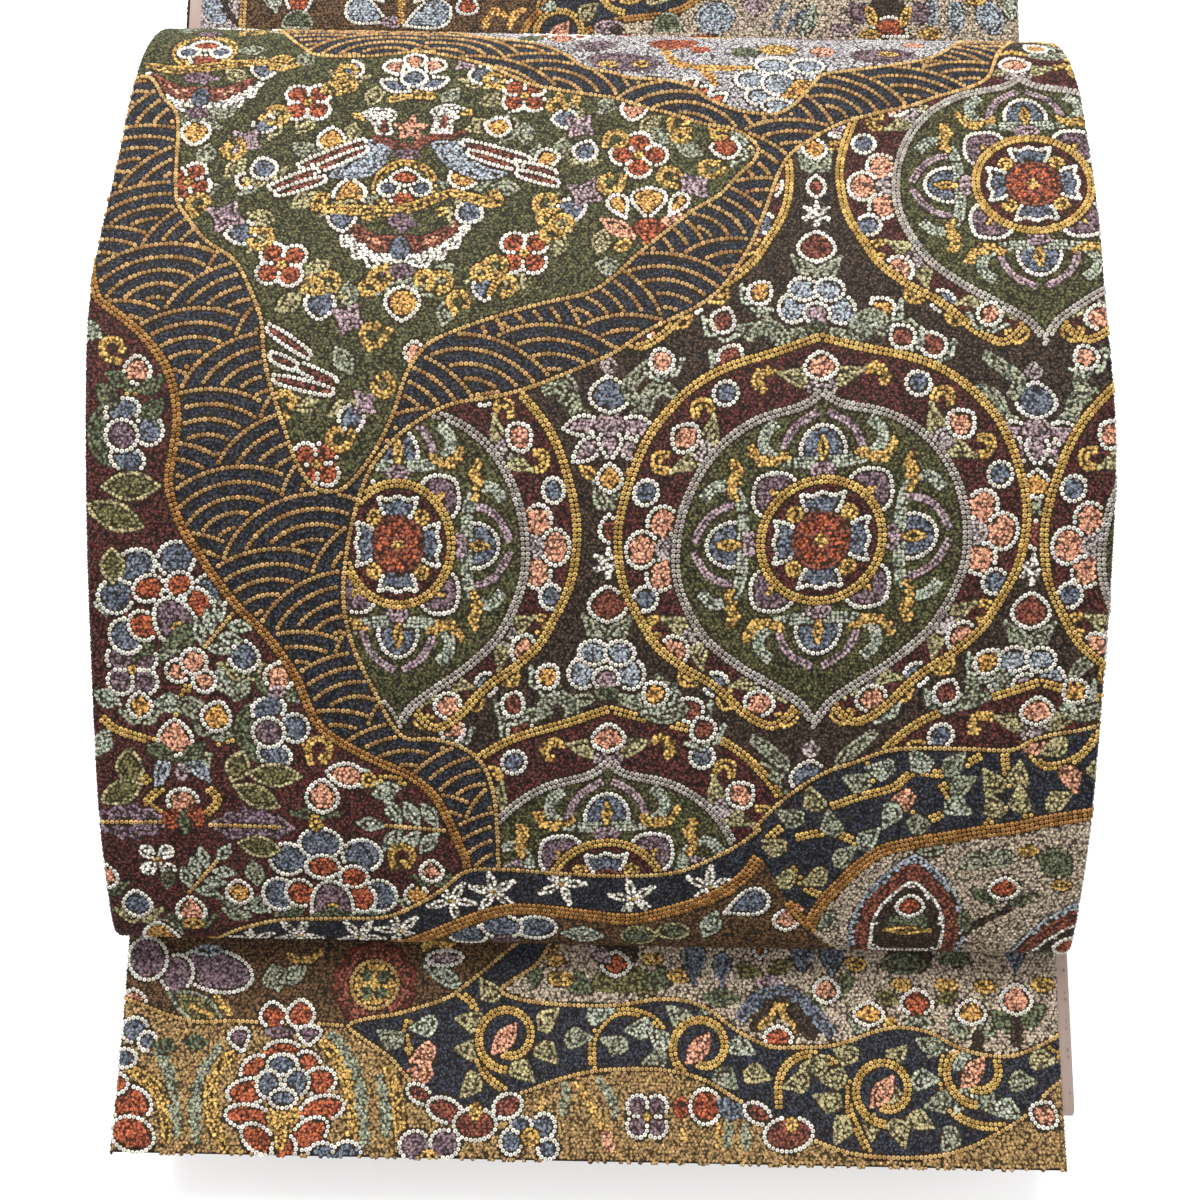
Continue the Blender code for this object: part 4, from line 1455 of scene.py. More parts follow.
CLOUD_PATCHES = (
    ("round", "purple", "", ((5, 304.5, 24, 11, -8), (92, 312, 22, 10, 6), (-4, 316, 14, 8, 20))),
    ("round", "gold", "", ((0, 303, 7, 4), (11, 303.5, 6, 4), (94, 313, 7, 4), (57, 315, 13, 9))),
    ("round", "red", "", ((22, 319, 17, 10, 10), (31, 314, 7, 5))),
    ("round", "leaf_green", "", ((46, 312.5, 9, 8), (-26, 323, 10, 6, 20))),
    ("round", "salmon", "", ((72, 314, 8, 8), (104, 322, 7, 7), (-16, 322, 8, 6))),
    ("round", "light_blue", "white", (
        (55, 303.5, 12, 9), (66, 303.5, 11, 8), (47, 295.5, 10, 9), (50, 288, 10, 8), (55, 284, 10, 6),
        (56, 294, 11, 11),
    )),
    ("petal", "amber_fill", "", ((62.5, 291, 9, 12, -60),)),
    ("drop", "red", "white", (
        (27.5, 294, 4.4, 6, -50), (32, 290.5, 4.4, 6, -50), (36.8, 287.2, 4.4, 6, -50),
    )),
)
CLOUD_BARS = (
    ("amber_fill", "", 3.4, (
        ((18, 315), (22, 305), (30, 302), (48, 302)), ((30, 302), (34, 297), (35, 292)),
    )),
)
BEIGE_PATCHES = (
    ("round", "sage", "", ((119, 36, 9, 6, 10), (127, 37, 10, 7), (75, 13, 6, 8), (105, 39.5, 9, 4))),
    ("leaf", "leaf_green", "", (
        (145, 36, 10, 13, 60), (124, 23.5, 4.6, 9, 60), (136, 22.5, 4.6, 9, -60), (119, 14, 5, 8, 20),
    )),
    ("bud", "red", "white", ((130, 26.5, 9.4, 8),)),
    ("round", "gold", "", ((136, 40, 7, 4), (148, 28, 7, 4))),
)
BEIGE_BARS = (("dark_brown", "", 2.6, (((119, 9), (126, 15), (133, 19)),)),)
BROWN_PATCHES = (
    ("round", "blue", "white", ((-40, 5, 12, 9), (-18, 8.5, 13, 8.5), (-29, 8.5, 13, 9))),
    ("round", "purple", "", ((-28, 3, 9, 4), (-58, -2, 10, 6, 20))),
    ("leaf", "pale_sage", "", ((-3, 6, 6.6, 14, 85), (38, 11, 7, 11, -20))),
    ("round", "leaf_green", "moss", ((15, 6, 11, 7), (26, 8, 10, 6))),
    ("petal", "blue", "white", ((49, 19, 9.5, 15, -64),)),
    ("bud", "salmon", "white", ((62, 13.5, 8, 8),)),
)
DRUM_VINES = (
    ((72, 53), (82, 57), (92, 60), (98, 65), (105, 65), (110, 65), (114, 68), (119, 71)),
    ((107, 62), (110, 57), (108, 52), (103, 50), (98, 52)), ((83, 68), (87, 62)),
    ((126, 72), (127, 66), (129, 61)), ((122, 48), (125, 52), (131, 54), (136, 51)),
    ((148, 85), (153, 80), (152, 75), (147, 70), (139, 68), (134, 72)),
    ((63, 43), (72, 45), (80, 43), (86, 38), (84, 35)), ((62, 33), (68, 25), (75, 22)),
    ((50, 38), (58, 46), (66, 52)),
)
DRUM_VINE_LEAVES = (
    ("sage", 81, 62), ("pale_sage", 88, 66), ("pale_sage", 100, 69), ("sage", 111, 68), ("sage", 114, 61.5),
    ("pale_sage", 113, 54), ("sage", 101, 47), ("pale_sage", 86, 43), ("sage", 79, 37), ("moss", 70, 29),
    ("moss", 68, 56), ("moss", 123, 63), ("moss", 131, 65), ("moss", 124, 55), ("moss", 132, 57),
    ("moss", 141, 74), ("salmon", 95, 56), ("salmon", 134, 75), ("salmon", 147, 64), ("salmon", 64, 15),
    ("moss", 56, 40), ("sage", 61, 50), ("sage", 74, 48), ("moss", 156, 66), ("pale_sage", 92, 51),
    ("moss", 144, 57), ("moss", 60, 28),
)


def coloured(motif, *threads, **more):
    """A motif in threads of its own."""
    return lambda needle: motif(needle, *threads, **more)


def patch(reach, squash, thread):
    """A plain patch with a wavy outline."""
    return lambda needle: needle.fill(scallops(reach, 5, 0.2) * squash, thread)


NAMED_MOTIFS = {
    "jewel_ring": jewel_ring,
    "winged_palmette": winged_palmette,
    "four_red": four_petals,
    "four_purple": coloured(four_petals, "purple", reach=7.8),
    "lotus_red": coloured(lotus, "red", "blue"),
    "amber_bud": coloured(bud, "amber_fill"),
    "blue_bud": coloured(bud, "blue", cup="moss"),
    "salmon_bud": coloured(bud, "salmon", cup="leaf_green"),
    "red_bud": coloured(bud, "red", cup="pale_sage"),
    "mauve_star": small_star,
    "hook": curl,
    "fork": forked_curl,
    "sage": spear_leaf,
    "side_bloom": side_bloom,
    "peony": peony,
    "serrated": serrated_leaf,
    "white_star": hollow_star,
    "sprig_long": sprig,
    "purple_patch": patch(8, (1.3, 0.8), "purple"),
    "gold_patch": patch(6, (1.3, 0.7), "gold"),
}


def sew_named(chart, groups):
    """Sews each group's motif at its places: (motif, ((u, v, size if not 1, turn if any), ...))."""
    for name, places in groups:
        for place in places:
            NAMED_MOTIFS[name](Needle(chart, *place))


def small_leaves(chart, places, threads=("sage", "moss")):
    """Small uneven leaves at (u, v), of one thread and another in turn."""
    for index, (u, v) in enumerate(places):
        outline = moved(leaf(9.4, 6.4) - (0, 4.7), u, v, rng.uniform(0, 180))
        chart.fill(outline, threads[index % len(threads)])


# The waves of the drum: each row is (outline to draw in, turn).
WAVE_WINDOWS = (
    (((-162, 10), (30, 10), (-20, 180), (-60, 225), (-60, 400), (-162, 400)), 18),
    (((-62, 400), (-62, 165), (60, 165), (162, 290), (162, 400)), -22),
)

# The medallions: each row is (u, v, narrowing, lean). Junctions and the middles of the vines are at (u, v).
MEDALLIONS = (
    (0, 250, 0.95, 0.03), (135.3, 254.5, 1, 0.05), (194, 367, 1, 0.05), (4, 22, 1, 0.05),
    (135, 33, 1, 0.05), (-60.5, 133, 0.88, 0), (195, 139, 1, 0.05), (67, 136.5, 1, 0.07),
)
JUNCTIONS = ((66.5, 250.5), (199, 254), (3, 138), (131, 138.5), (66.5, 22), (-62, 22))
DRUM_VINE_MIDDLES = ((103, 60), (147, 78), (78, 36), (130, 50))


def zone(points):
    """A zone's rounded outline."""
    return smooth(np.array(points, float), closed=True, steps=6)


def begin_zone(chart, points, thread):
    """Keeps the chart's drawing inside a zone from here on, and fills it; gives its closed edge."""
    outline = zone(points)
    chart.clip(outline)
    chart.fill(outline, thread, own_edge=False)
    return np.vstack((outline, outline[:1]))


def end_zone(chart, *edges):
    """Draws on the whole chart again, from the zone's edges on: (path, thread, rows)."""
    chart.clip()
    for edge in edges:
        chart.string(*edge)


def drum_chart():
    """The drum's face, over its crest and down its back."""
    chart = Chart(*DRUM_CHART, "navy")
    for window, turn in WAVE_WINDOWS:
        chart.clip(np.array(window))
        waves(chart, turn)

    edge = begin_zone(chart, FIELD_ZONE, "dark_brown")
    for u, v in JUNCTIONS:
        junction(Needle(chart, u, v))
    for u, v, narrow, lean in MEDALLIONS:
        lattice_cell(Needle(Leaning(chart, u, narrow, lean), u, v))
    end_zone(chart, (edge, "light_gold"))

    edge = begin_zone(chart, FLORAL_ZONE, "burgundy")
    for stem in FLORAL_STEMS:
        chart.string(smooth(stem), "gold_ring", 2)
    small_leaves(chart, FLORAL_LEAVES, ("sage", "pale_sage"))
    sew_named(chart, FLORAL_MOTIFS)
    patches(chart, FLORAL_PATCHES)
    end_zone(chart, (edge, "amber", 2))

    edge = begin_zone(chart, OLIVE_ZONE, "olive")
    small_leaves(chart, OLIVE_LEAVES)
    sew_named(chart, OLIVE_MOTIFS)
    for body in BIRD_BODIES:
        chart.fill(np.array(body), "light_blue")
    bars(chart, OLIVE_BARS)
    for head in BIRD_HEADS:
        chart.fill(np.array(head), "white_fill")
    patches(chart, BIRD_PATCHES)
    patches(chart, OLIVE_PATCHES)
    end_zone(chart, (edge, "light_gold"))

    edge = begin_zone(chart, CLOUD_ZONE, "cloud")
    sew_named(chart, CLOUD_MOTIFS)
    bars(chart, CLOUD_BARS)
    patches(chart, CLOUD_PATCHES)
    end_zone(chart, (edge, "light_gold"))

    begin_zone(chart, SCROLL_ZONE, "navy")
    for vine in DRUM_VINES:
        leafy_vine(chart, vine)
    vine_leaves(chart, DRUM_VINE_LEAVES, DRUM_VINE_MIDDLES)
    end_zone(chart, (smooth(SCROLL_TOP), "light_gold"))

    begin_zone(chart, BEIGE_ZONE, "beige")
    nested_drops(Needle(chart, 101, 18))
    nested_drops(Needle(chart, 153, 3, 0.95, -6))
    bars(chart, BEIGE_BARS)
    patches(chart, BEIGE_PATCHES)
    end_zone(chart, (smooth(BEIGE_ZONE[1:-1]), "amber", 3))

    begin_zone(chart, BROWN_ZONE, "brown")
    patches(chart, BROWN_PATCHES)
    end_zone(chart, (smooth(BROWN_ZONE[13:-1]), "amber", 2))

    begin_zone(chart, SPRIG_ZONE, "navy")
    for u, v, turn in SPRIG_PLACES:
        cross_sprig(Needle(chart, u, v, 0.95, turn))
    end_zone(chart, (smooth(SPRIG_ZONE[1:17]), "light_gold"), (smooth(SPRIG_ZONE[17:-1]), "amber", 3))
    return chart


# ---------------------------------------------------------------- the end flap's chart

VINE_LEFT = ((-80, 40.5), (-74, 43), (-65, 44.5), (-55, 47.5), (-47, 50.5), (-41, 55), (-35, 60), (-28, 66))
VINE_TOP = (
    (-30, 53), (-25, 50.5), (-15, 49), (0, 48.5), (10, 49), (22, 51), (32, 50.5), (40, 47.5), (46, 43),
    (52, 39.5), (60, 36.5), (68, 36.5), (78, 37), (86, 39), (94, 42), (102, 43.5), (112, 42), (120, 38),
    (128, 35.5), (138, 35), (146, 37.5), (153, 41), (162, 46),
)
FLAP_VINE_ZONE = VINE_LEFT + ((-20, 72), (-14, 70), (-18, 62), (-25, 57)) + VINE_TOP + (
    (162, 34), (150, 24), (143, 17), (135, 12), (125, 7), (115, 4), (105, 3), (95, 3), (85, 4), (75, 7),
    (66, 11), (58, 15), (48, 20), (38, 25.5), (25, 28.5), (10, 28.5), (0, 27.5), (-10, 25), (-18, 22),
    (-26, 19), (-32, 14.5), (-40, 13.5), (-48, 16), (-54, 20), (-58, 23), (-62, 27), (-66, 31), (-74, 36),
)
FLAP_BEIGE_ZONE = VINE_TOP + ((162, 95), (-8, 92), (-10, 68), (-18, 62), (-25, 57))
FLAP_BROWN_ZONE = (
    (-162, 50), (-150, 46.5), (-140, 43), (-130, 41), (-118, 41.5), (-105, 41), (-90, 41),
) + VINE_LEFT + ((-24, 92), (-162, 89))
FLAP_TOP_PATCHES = (
    ("round", "purple", "white", (
        (-125, 57.5, 25, 13.5, -12), (-138, 56.5, 11, 12), (-148, 61, 13, 14, 20),
    )),
    ("round", "light_blue", "", ((-128, 64, 10, 4),)),
    ("leaf", "leaf_olive", "sage", ((-131, 45.8, 8, 20, 66),)),
    ("leaf", "gold", "", ((-129, 44.6, 1.8, 8, 66),)),
    ("leaf", "sage", "", ((-105, 55.5, 9, 9, 20), (-99, 56.5, 6, 10, -58))),
    ("leaf", "pale_sage", "", ((-49, 57, 5.6, 16, 62), (-96, 72, 5, 10, 90))),
    ("round", "mauve", "white", ((-49, 63, 12, 5, 4),)),
    ("bud", "salmon", "white", ((-152, 47.5, 9, 7),)),
)
FLAP_TOP_BARS = (
    ("gold", "", 2.6, (
        ((-102, 63.5), (-97, 60.8), (-90, 64)), ((-125, 50), (-121.5, 46), (-119, 42)),
        ((-57, 66), (-52, 68), (-46, 67)),
    )),
)
FLAP_LOW_BARS = (
    ("gold", "", 4.4, (
        ((-117, 1), (-122, 10), (-124, 20), (-121, 28), (-116.5, 31)),
        ((-77.5, 3), (-76.5, 12), (-79, 22), (-83, 30), (-89, 36)),
        ((-136.5, 3), (-138, 12), (-141, 19), (-148, 24), (-156, 26)),
        ((-61, 4), (-62, 14), (-64, 22), (-67, 28)),
    )),
    ("sage", "", 4, (
        ((-127, 3), (-128.5, 15), (-127, 24), (-121.5, 34)),
        ((-72, 3), (-74, 14), (-76, 24), (-81, 33), (-86, 38)),
        ((-133.5, 5), (-135.5, 15), (-138, 25), (-143, 33)), ((-65.5, 6), (-66.5, 17), (-69, 26)),
    )),
    ("gold", "", 2.6, (
        ((-4, 25), (0, 18), (5, 10), (9, 3)), ((-15, 20), (-15, 8)), ((31, 12), (31, 6)),
        ((42, 14), (42, 5)),
    )),
    ("sage", "", 3, (
        ((2, 26), (7, 20), (9, 12)), ((-8, 25), (-8, 14)), ((46, 14), (45, 5)), ((51, 13), (51, 4)),
    )),
    ("salmon", "", 3.4, (((5, 9), (8, 3)),)),
)
FLAP_LOW_PATCHES = (
    ("round", "red", "white", (
        (-101, 31.5, 13, 8), (-110, 26.5, 10, 7.6, 40), (-92.5, 28.5, 9, 7, -30), (-111, 19.5, 15, 8, 8),
        (-88.5, 23, 11, 8.4, 10), (-110.5, 11.5, 16, 7.6, -8), (-87, 14.5, 14.5, 8, 12),
        (-107, 4.8, 13, 7.6, -34), (-90.5, 6.8, 13, 8.6, 34), (-98.5, 2, 8, 9),
    )),
    ("round", "gold", "", ((-99.5, 12, 11, 8), (-99.8, 6, 4, 10))),
    ("round", "blue", "white", (
        (-101, 28, 10, 6.4), (-105, 21.8, 8, 8.6), (-95.8, 22.4, 8, 8.6), (-100, 17.4, 9, 6),
    )),
    ("round", "red", "white", ((-150, 15, 15, 10.5, -14), (-148, 5.5, 15, 10.5, -20), (-156, 21, 10, 7))),
    ("round", "blue", "white", ((-150.5, 38, 9, 8), (-146, 34.5, 6, 6), (-153, 29, 8, 6))),
    ("leaf", "leaf_green", "", ((-140, 33, 5, 8, 90), (-130, 34.5, 5, 8, 90))),
)
FLAP_BUD_PATCHES = (
    ("bud", "red", "white", ((-105.2, 43.8, 8.4, 8.4, 10), (-96, 44.2, 9.2, 9.4))),
    ("drop", "purple", "white", ((-115.5, 35.4, 7, 8, 200), (-92.8, 37.2, 8, 6.6, 180))),
    ("leaf", "purple", "", ((-103, 38.2, 4, 9, 90),)),
    ("round", "purple", "white", ((-56.5, 4, 9.6, 8.4, 20), (-46.5, 4.5, 9.6, 8.4, -20))),
    ("round", "gold", "", ((-51.5, 0.6, 6, 4),)),
    ("round", "blue", "white", (
        (-86, 0.8, 9, 6.6), (-78, 1.4, 9, 6.6), (-25, 5.5, 7, 8), (-14.5, 10.4, 7.4, 8), (-22, 10.8, 7, 5),
        (-13, 3.5, 6.6, 6.4),
    )),
    ("round", "gold", "", ((-18.8, 7, 6, 6),)),
    ("round", "red", "", ((30, 17, 5, 7),)),
    ("round", "red", "white", ((38, 17.4, 10, 11),)),
    ("leaf", "blue", "", ((46, 17, 7, 10, 60),)),
)
FLAP_FAN_PATCHES = (
    ("round", "brick", "white", (
        (-55.5, 19.6, 9, 5.4, -30), (-47, 14.8, 12, 7.4, -18), (-26.5, 16.4, 9.6, 7.6, 20),
        (-37, 10.6, 14, 10), (55, 15.6, 9.4, 6, -28), (65, 9.4, 16, 10.5, 8),
    )),
    ("round", "gold", "", ((-37, 14.6, 4.6, 6), (66, 12.4, 4, 5))),
)
FLAP_BEIGE_PATCHES = (
    ("leaf", "leaf_green", "", (
        (-19, 59, 5, 10), (43, 52, 6, 12, 90), (84, 57, 5, 9, -20), (74, 50, 5, 9, 30),
    )),
    ("half", "leaf_olive", "", ((11, 57.5, 22, 9),)),
    ("leaf", "leaf_green", "", ((-4.5, 55.5, 7, 11, 60), (23, 57.5, 7, 11, -70))),
    ("half", "dark_brown", "", ((8, 67, 15, 6), (106, 68, 15, 6))),
    ("bud", "red", "white", ((8, 62.2, 9.4, 8), (108, 51.6, 10.6, 8.6), (56, 68, 4, 6))),
    ("round", "gold", "", (
        (-10, 57, 9, 5), (29, 58.6, 8, 5), (88, 63.5, 7, 5), (103, 57.2, 7, 4.6), (118, 57.4, 8, 4.6),
        (131, 57, 8, 4.6), (150, 58, 8, 5), (-12, 63, 6, 4), (20, 64, 7, 4), (98, 45.5, 6, 4),
    )),
    ("drop", "blue", "", (
        (34, 62.5, 8, 13, 180), (43.5, 61, 6, 11, 180), (70, 65.5, 8, 10, 180), (80, 65, 8, 11, 180),
        (141, 66, 6, 9, 180),
    )),
    ("leaf", "leaf_olive", "", (
        (52, 61, 4.8, 9, 80), (63, 62.2, 4.8, 9, -70), (98.5, 52.8, 5, 8, 70), (118, 53, 5, 8, -70),
    )),
    ("leaf", "mauve", "", ((59.5, 56.6, 6, 10, 90), (3, 65, 5, 8, 60))),
    ("round", "leaf_green", "", ((104, 64, 15, 7), (121, 66, 12, 5))),
    ("leaf", "sage", "", (
        (89, 43.6, 5, 8, 60), (121.5, 43.6, 5.6, 9, 50), (131.5, 43.6, 5.6, 9, -50),
        (108.5, 45.2, 5, 9, 90),
    )),
    ("leaf", "leaf_green", "", ((136.5, 46, 6, 10, 46), (146, 47.5, 6, 11, -46))),
    ("block", "dark_brown", "", ((128, 39, 3, 8), (141, 43, 3, 9))),
    ("bud", "salmon", "white", ((78, 55, 8.4, 8.4), (141, 53.2, 10.4, 10))),
    ("bud", "amber_fill", "white", ((92, 47.6, 10, 7.6), (126, 48.8, 9.6, 8))),
)
FLAP_ARCH_BARS = (
    ("blue", "", 5.4, (((49, 45), (54, 50.5), (62, 53.6), (70, 50.5), (75.5, 45.5), (80, 40.5)),)),
    ("dark_brown", "", 6.6, (((54, 42), (59, 47.5), (63, 49.2), (68, 46), (74, 40)),)),
    ("gold", "", 2.4, (((56, 42), (62, 49.6)), ((68.5, 40.5), (62, 49.6)), ((61, 50), (65, 50)))),
)


def rayed_roundel(needle):
    """A red round flower with a gold net over green in its middle."""
    needle.fill(scallops(13.5, 10, 0.09), "brick", "brick_ring")
    needle.fill(circle(0, 0, 7.8), "gold", "light_gold")
    for x, y in ((-2.7, 2.7), (2.7, 2.7), (-2.7, -2.7), (2.7, -2.7)):
        needle.fill(circle(x, y, 1.9), "leaf_green")


FLAP_SCROLLS = ((-27, 38), (37, 36), (97, 23.5), (127, 30))
FLAP_VINES = (
    ((-60, 43), (-61, 37), (-58, 32), (-50, 31)), ((-44, 52), (-39, 48), (-38, 41)),
    ((-38, 34), (-34, 26), (-26, 20)), ((1, 28), (1, 38), (6, 45), (12, 47), (20, 45), (24, 41)),
    ((62, 17), (62, 25), (65, 31), (72, 34.5), (80, 32), (85, 25), (85, 17), (88, 10), (91, 4)),
    ((119, 39), (116, 32), (116, 24), (119, 17), (126, 13.5), (134, 13), (142, 14)),
    ((148, 40), (153, 36), (158, 36)), ((133, 4), (140, 8), (147, 9), (147, 14)),
)
FLAP_VINE_LEAVES = (
    ("pale_sage", -55, 41), ("sage", -66, 37), ("salmon", -56, 26), ("moss", -40, 43), ("moss", -34, 53),
    ("moss", -40, 34), ("moss", -39, 22.5), ("moss", -14, 44), ("moss", -14, 33), ("moss", -22, 27),
    ("sage", -4, 38), ("pale_sage", 3, 46), ("sage", 8, 36.5), ("pale_sage", 16, 41.5), ("sage", 21, 31.5),
    ("pale_sage", 23, 38.5), ("sage", 29, 46), ("sage", 39, 46.5), ("pale_sage", 50, 36), ("sage", 45, 26),
    ("moss", 55, 27.5), ("moss", 68, 25.5), ("moss", 74, 31), ("moss", 84, 35), ("moss", 80, 27),
    ("moss", 78, 20), ("moss", 82, 11), ("moss", 92, 12.5), ("moss", 101, 10.5), ("moss", 101, 34),
    ("moss", 100, 21), ("sage", 112, 38), ("pale_sage", 110, 27), ("sage", 114, 20), ("sage", 117, 8.5),
    ("pale_sage", 122, 21), ("sage", 130, 20), ("pale_sage", 137, 18), ("sage", 142, 27),
    ("pale_sage", 121, 34), ("moss", 149, 34), ("moss", 108, 14), ("salmon", -55, 32),
)


def flap_chart():
    """The end flap, from the band's end to where it goes under the drum."""
    chart = Chart(*FLAP_CHART, "tan")
    bars(chart, FLAP_LOW_BARS)
    four_petals(Needle(chart, 19, 14, 0.9), "purple")
    patches(chart, FLAP_LOW_PATCHES)

    begin_zone(chart, FLAP_BROWN_ZONE, "brown")
    bars(chart, FLAP_TOP_BARS)
    patches(chart, FLAP_TOP_PATCHES)
    rayed_roundel(Needle(chart, -72, 54))
    end_zone(chart, (smooth(FLAP_BROWN_ZONE[:8]), "light_gold"))
    patches(chart, FLAP_BUD_PATCHES)

    begin_zone(chart, FLAP_BEIGE_ZONE, "beige")
    patches(chart, FLAP_BEIGE_PATCHES)
    bars(chart, FLAP_ARCH_BARS)
    patches(chart, (("bud", "red", "white", ((62, 39.8, 9.4, 6.6),)),))

    edge = begin_zone(chart, FLAP_VINE_ZONE, "navy")
    for path in FLAP_VINES:
        leafy_vine(chart, path)
    vine_leaves(chart, FLAP_VINE_LEAVES, FLAP_SCROLLS)
    for u, v in FLAP_SCROLLS:
        scroll(Needle(chart, u, v))
    end_zone(chart, (edge, "light_gold"))
    patches(chart, FLAP_FAN_PATCHES)
    patches(chart, (("bud", "salmon", "white", ((148.5, 17, 9.4, 8.4, -30),)),))
    return chart


# ---------------------------------------------------------------- the strip's chart

STRIP_ZONES = (
    ("lilac", "light_gold", ((-162, 116), (-140, 116), (-138, 160), (-139, 200), (-140, 226), (-162, 226))),
    ("brown", "light_gold", (
        (-140, 226), (-139, 200), (-138, 160), (-132, 116), (-30, 116), (-36, 160), (-26, 196), (-20, 226),
    )),
    ("navy", "amber", (
        (-20, 226), (-22, 200), (-32, 184), (-34, 170), (-12, 168), (-10, 182), (2, 188), (20, 191),
        (31, 196), (44, 210), (44, 226),
    )),
)
STRIP_SCROLLS = ((-18, 183), (6, 202))
STRIP_VINE_LEAVES = (("moss", -8, 192), ("pale_sage", -24, 196), ("moss", 18, 198), ("sage", 12, 208))
STRIP_PATCHES = (
    ("round", "light_blue", "", (
        (-150, 190, 8, 14, 30), (40, 190, 15, 13, 20), (122, 194, 5, 12), (131, 192, 6, 13),
        (144, 192, 10, 14, 20),
    )),
    ("leaf", "pale_sage", "", ((-128, 195, 7, 12, 20), (75, 190, 7, 14, 160), (152, 196, 6, 10))),
    ("petal", "red", "white", ((-117, 195, 10, 12, 130), (-54, 194, 8, 9, 180))),
    ("half", "leaf_green", "sage", ((-118, 186.5, 11, 7), (22, 188, 10, 7))),
    ("petal", "light_blue", "white", (
        (-92, 189.5, 11, 17, 66), (-69, 188.5, 12, 19, -66), (-90, 199, 8, 12, 40), (-70, 199, 8, 12, -40),
    )),
    ("round", "mauve", "", (
        (-82, 186, 9, 5), (0, 185.5, 12, 6), (-104, 200, 9, 7), (55, 195, 9, 7), (88, 186, 9, 5),
    )),
    ("round", "dark_brown", "", ((3, 184.5, 5, 4),)),
    ("half", "dark_brown", "", ((105, 195, 16, 10),)),
    ("half", "red", "white", ((106, 187.5, 13, 8),)),
    ("round", "purple", "", ((94, 193, 8, 9, 30), (117, 193, 8, 9, -30))),
    ("round", "gold", "", (
        (99, 192, 4, 9, 20), (112, 192, 4, 9, -20), (98, 184.5, 8, 4), (121, 185, 9, 5), (139, 200, 8, 6),
    )),
    ("bud", "salmon", "white", (
        (-70, 212, 10, 10, 30), (74, 206, 9, 9), (-112, 212, 9, 9), (20, 214, 9, 9),
    )),
    ("leaf", "sage", "", (
        (-40, 214, 6, 11, 60), (60, 212, 6, 11, 40), (122, 210, 6, 11, 20), (100, 208, 6, 11, -40),
    )),
    ("round", "red", "", ((6, 180.5, 12, 4), (36, 181, 12, 4))),
)
STRIP_BARS = (
    ("amber_fill", "", 2.6, (
        ((-79, 184), (-79, 197)), ((-47, 184), (-46, 189), (-43, 191.5), (-39, 189)),
        ((-38, 184), (-36, 190), (-31, 192)),
    )),
    ("dark_brown", "", 3, (((-149, 200), (-145, 190), (-141, 184)),)),
    ("blue", "", 2.2, (((62, 185), (64, 192), (68, 197)), ((67, 184), (70, 190), (75, 194)))),
)


def strip_chart():
    """The strip that shows behind the drum and round the far fold."""
    chart = Chart(*STRIP_CHART, "beige")
    for thread, edge, points in STRIP_ZONES:
        chart.fill(zone(points), thread, edge, 2)
    patches(chart, STRIP_PATCHES)
    bars(chart, STRIP_BARS)
    chart.clip(zone(STRIP_ZONES[-1][-1]))
    for u, v in STRIP_SCROLLS:
        scroll(Needle(chart, u, v))
    vine_leaves(chart, STRIP_VINE_LEAVES, STRIP_SCROLLS)
    return chart


# ---------------------------------------------------------------- meshes


def linear(shade):
    """An sRGB shade as linear light."""
    shade = np.asarray(shade, float) / 255
    return np.where(shade <= 0.04045, shade / 12.92, ((shade + 0.055) / 1.055) ** 2.4)


FIRST_SHADES = np.array([linear(thread.shade) for thread in THREADS])
SECOND_SHADES = np.array([linear(thread.second_shade) for thread in THREADS])
SECOND_SHARES = np.array([thread.share for thread in THREADS])


def new_piece(name, points, faces, look, colours=None, uv=None, coiled=1):
    """An object from arrays of points in millimetres and of faces with the same number of corners each."""
    mesh = bpy.data.meshes.new(name)
    mesh.vertices.add(len(points))
    mesh.vertices.foreach_set("co", (points * MM).astype(np.float32).ravel())
    corners = faces.shape[1]
    mesh.loops.add(faces.size)
    mesh.loops.foreach_set("vertex_index", faces.astype(np.int32).ravel())
    mesh.polygons.add(len(faces))
    mesh.polygons.foreach_set("loop_start", np.arange(0, faces.size, corners, dtype=np.int32))
    mesh.update(calc_edges=True)
    mesh.shade_smooth()
    if colours is not None:
        layer = mesh.color_attributes.new("thread_colour", "FLOAT_COLOR", "POINT")
        rgba = np.full((len(points), 4), coiled, np.float32)
        rgba[:, :3] = colours
        layer.data.foreach_set("color", rgba.ravel())
    if uv is not None:
        layer = mesh.uv_layers.new(name="across_and_along")
        layer.data.foreach_set("uv", (uv * MM)[faces.ravel()].astype(np.float32).ravel())
    mesh.materials.append(look)
    piece = bpy.data.objects.new(name, mesh)
    bpy.context.scene.collection.objects.link(piece)
    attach(piece, "root")
    return piece


def grid_faces(rows, columns):
    """The four corners of each face of a grid whose points run row by row."""
    corner = (np.arange(rows - 1)[:, None] * columns + np.arange(columns - 1)).ravel()
    return np.column_stack((corner, corner + 1, corner + columns + 1, corner + columns))


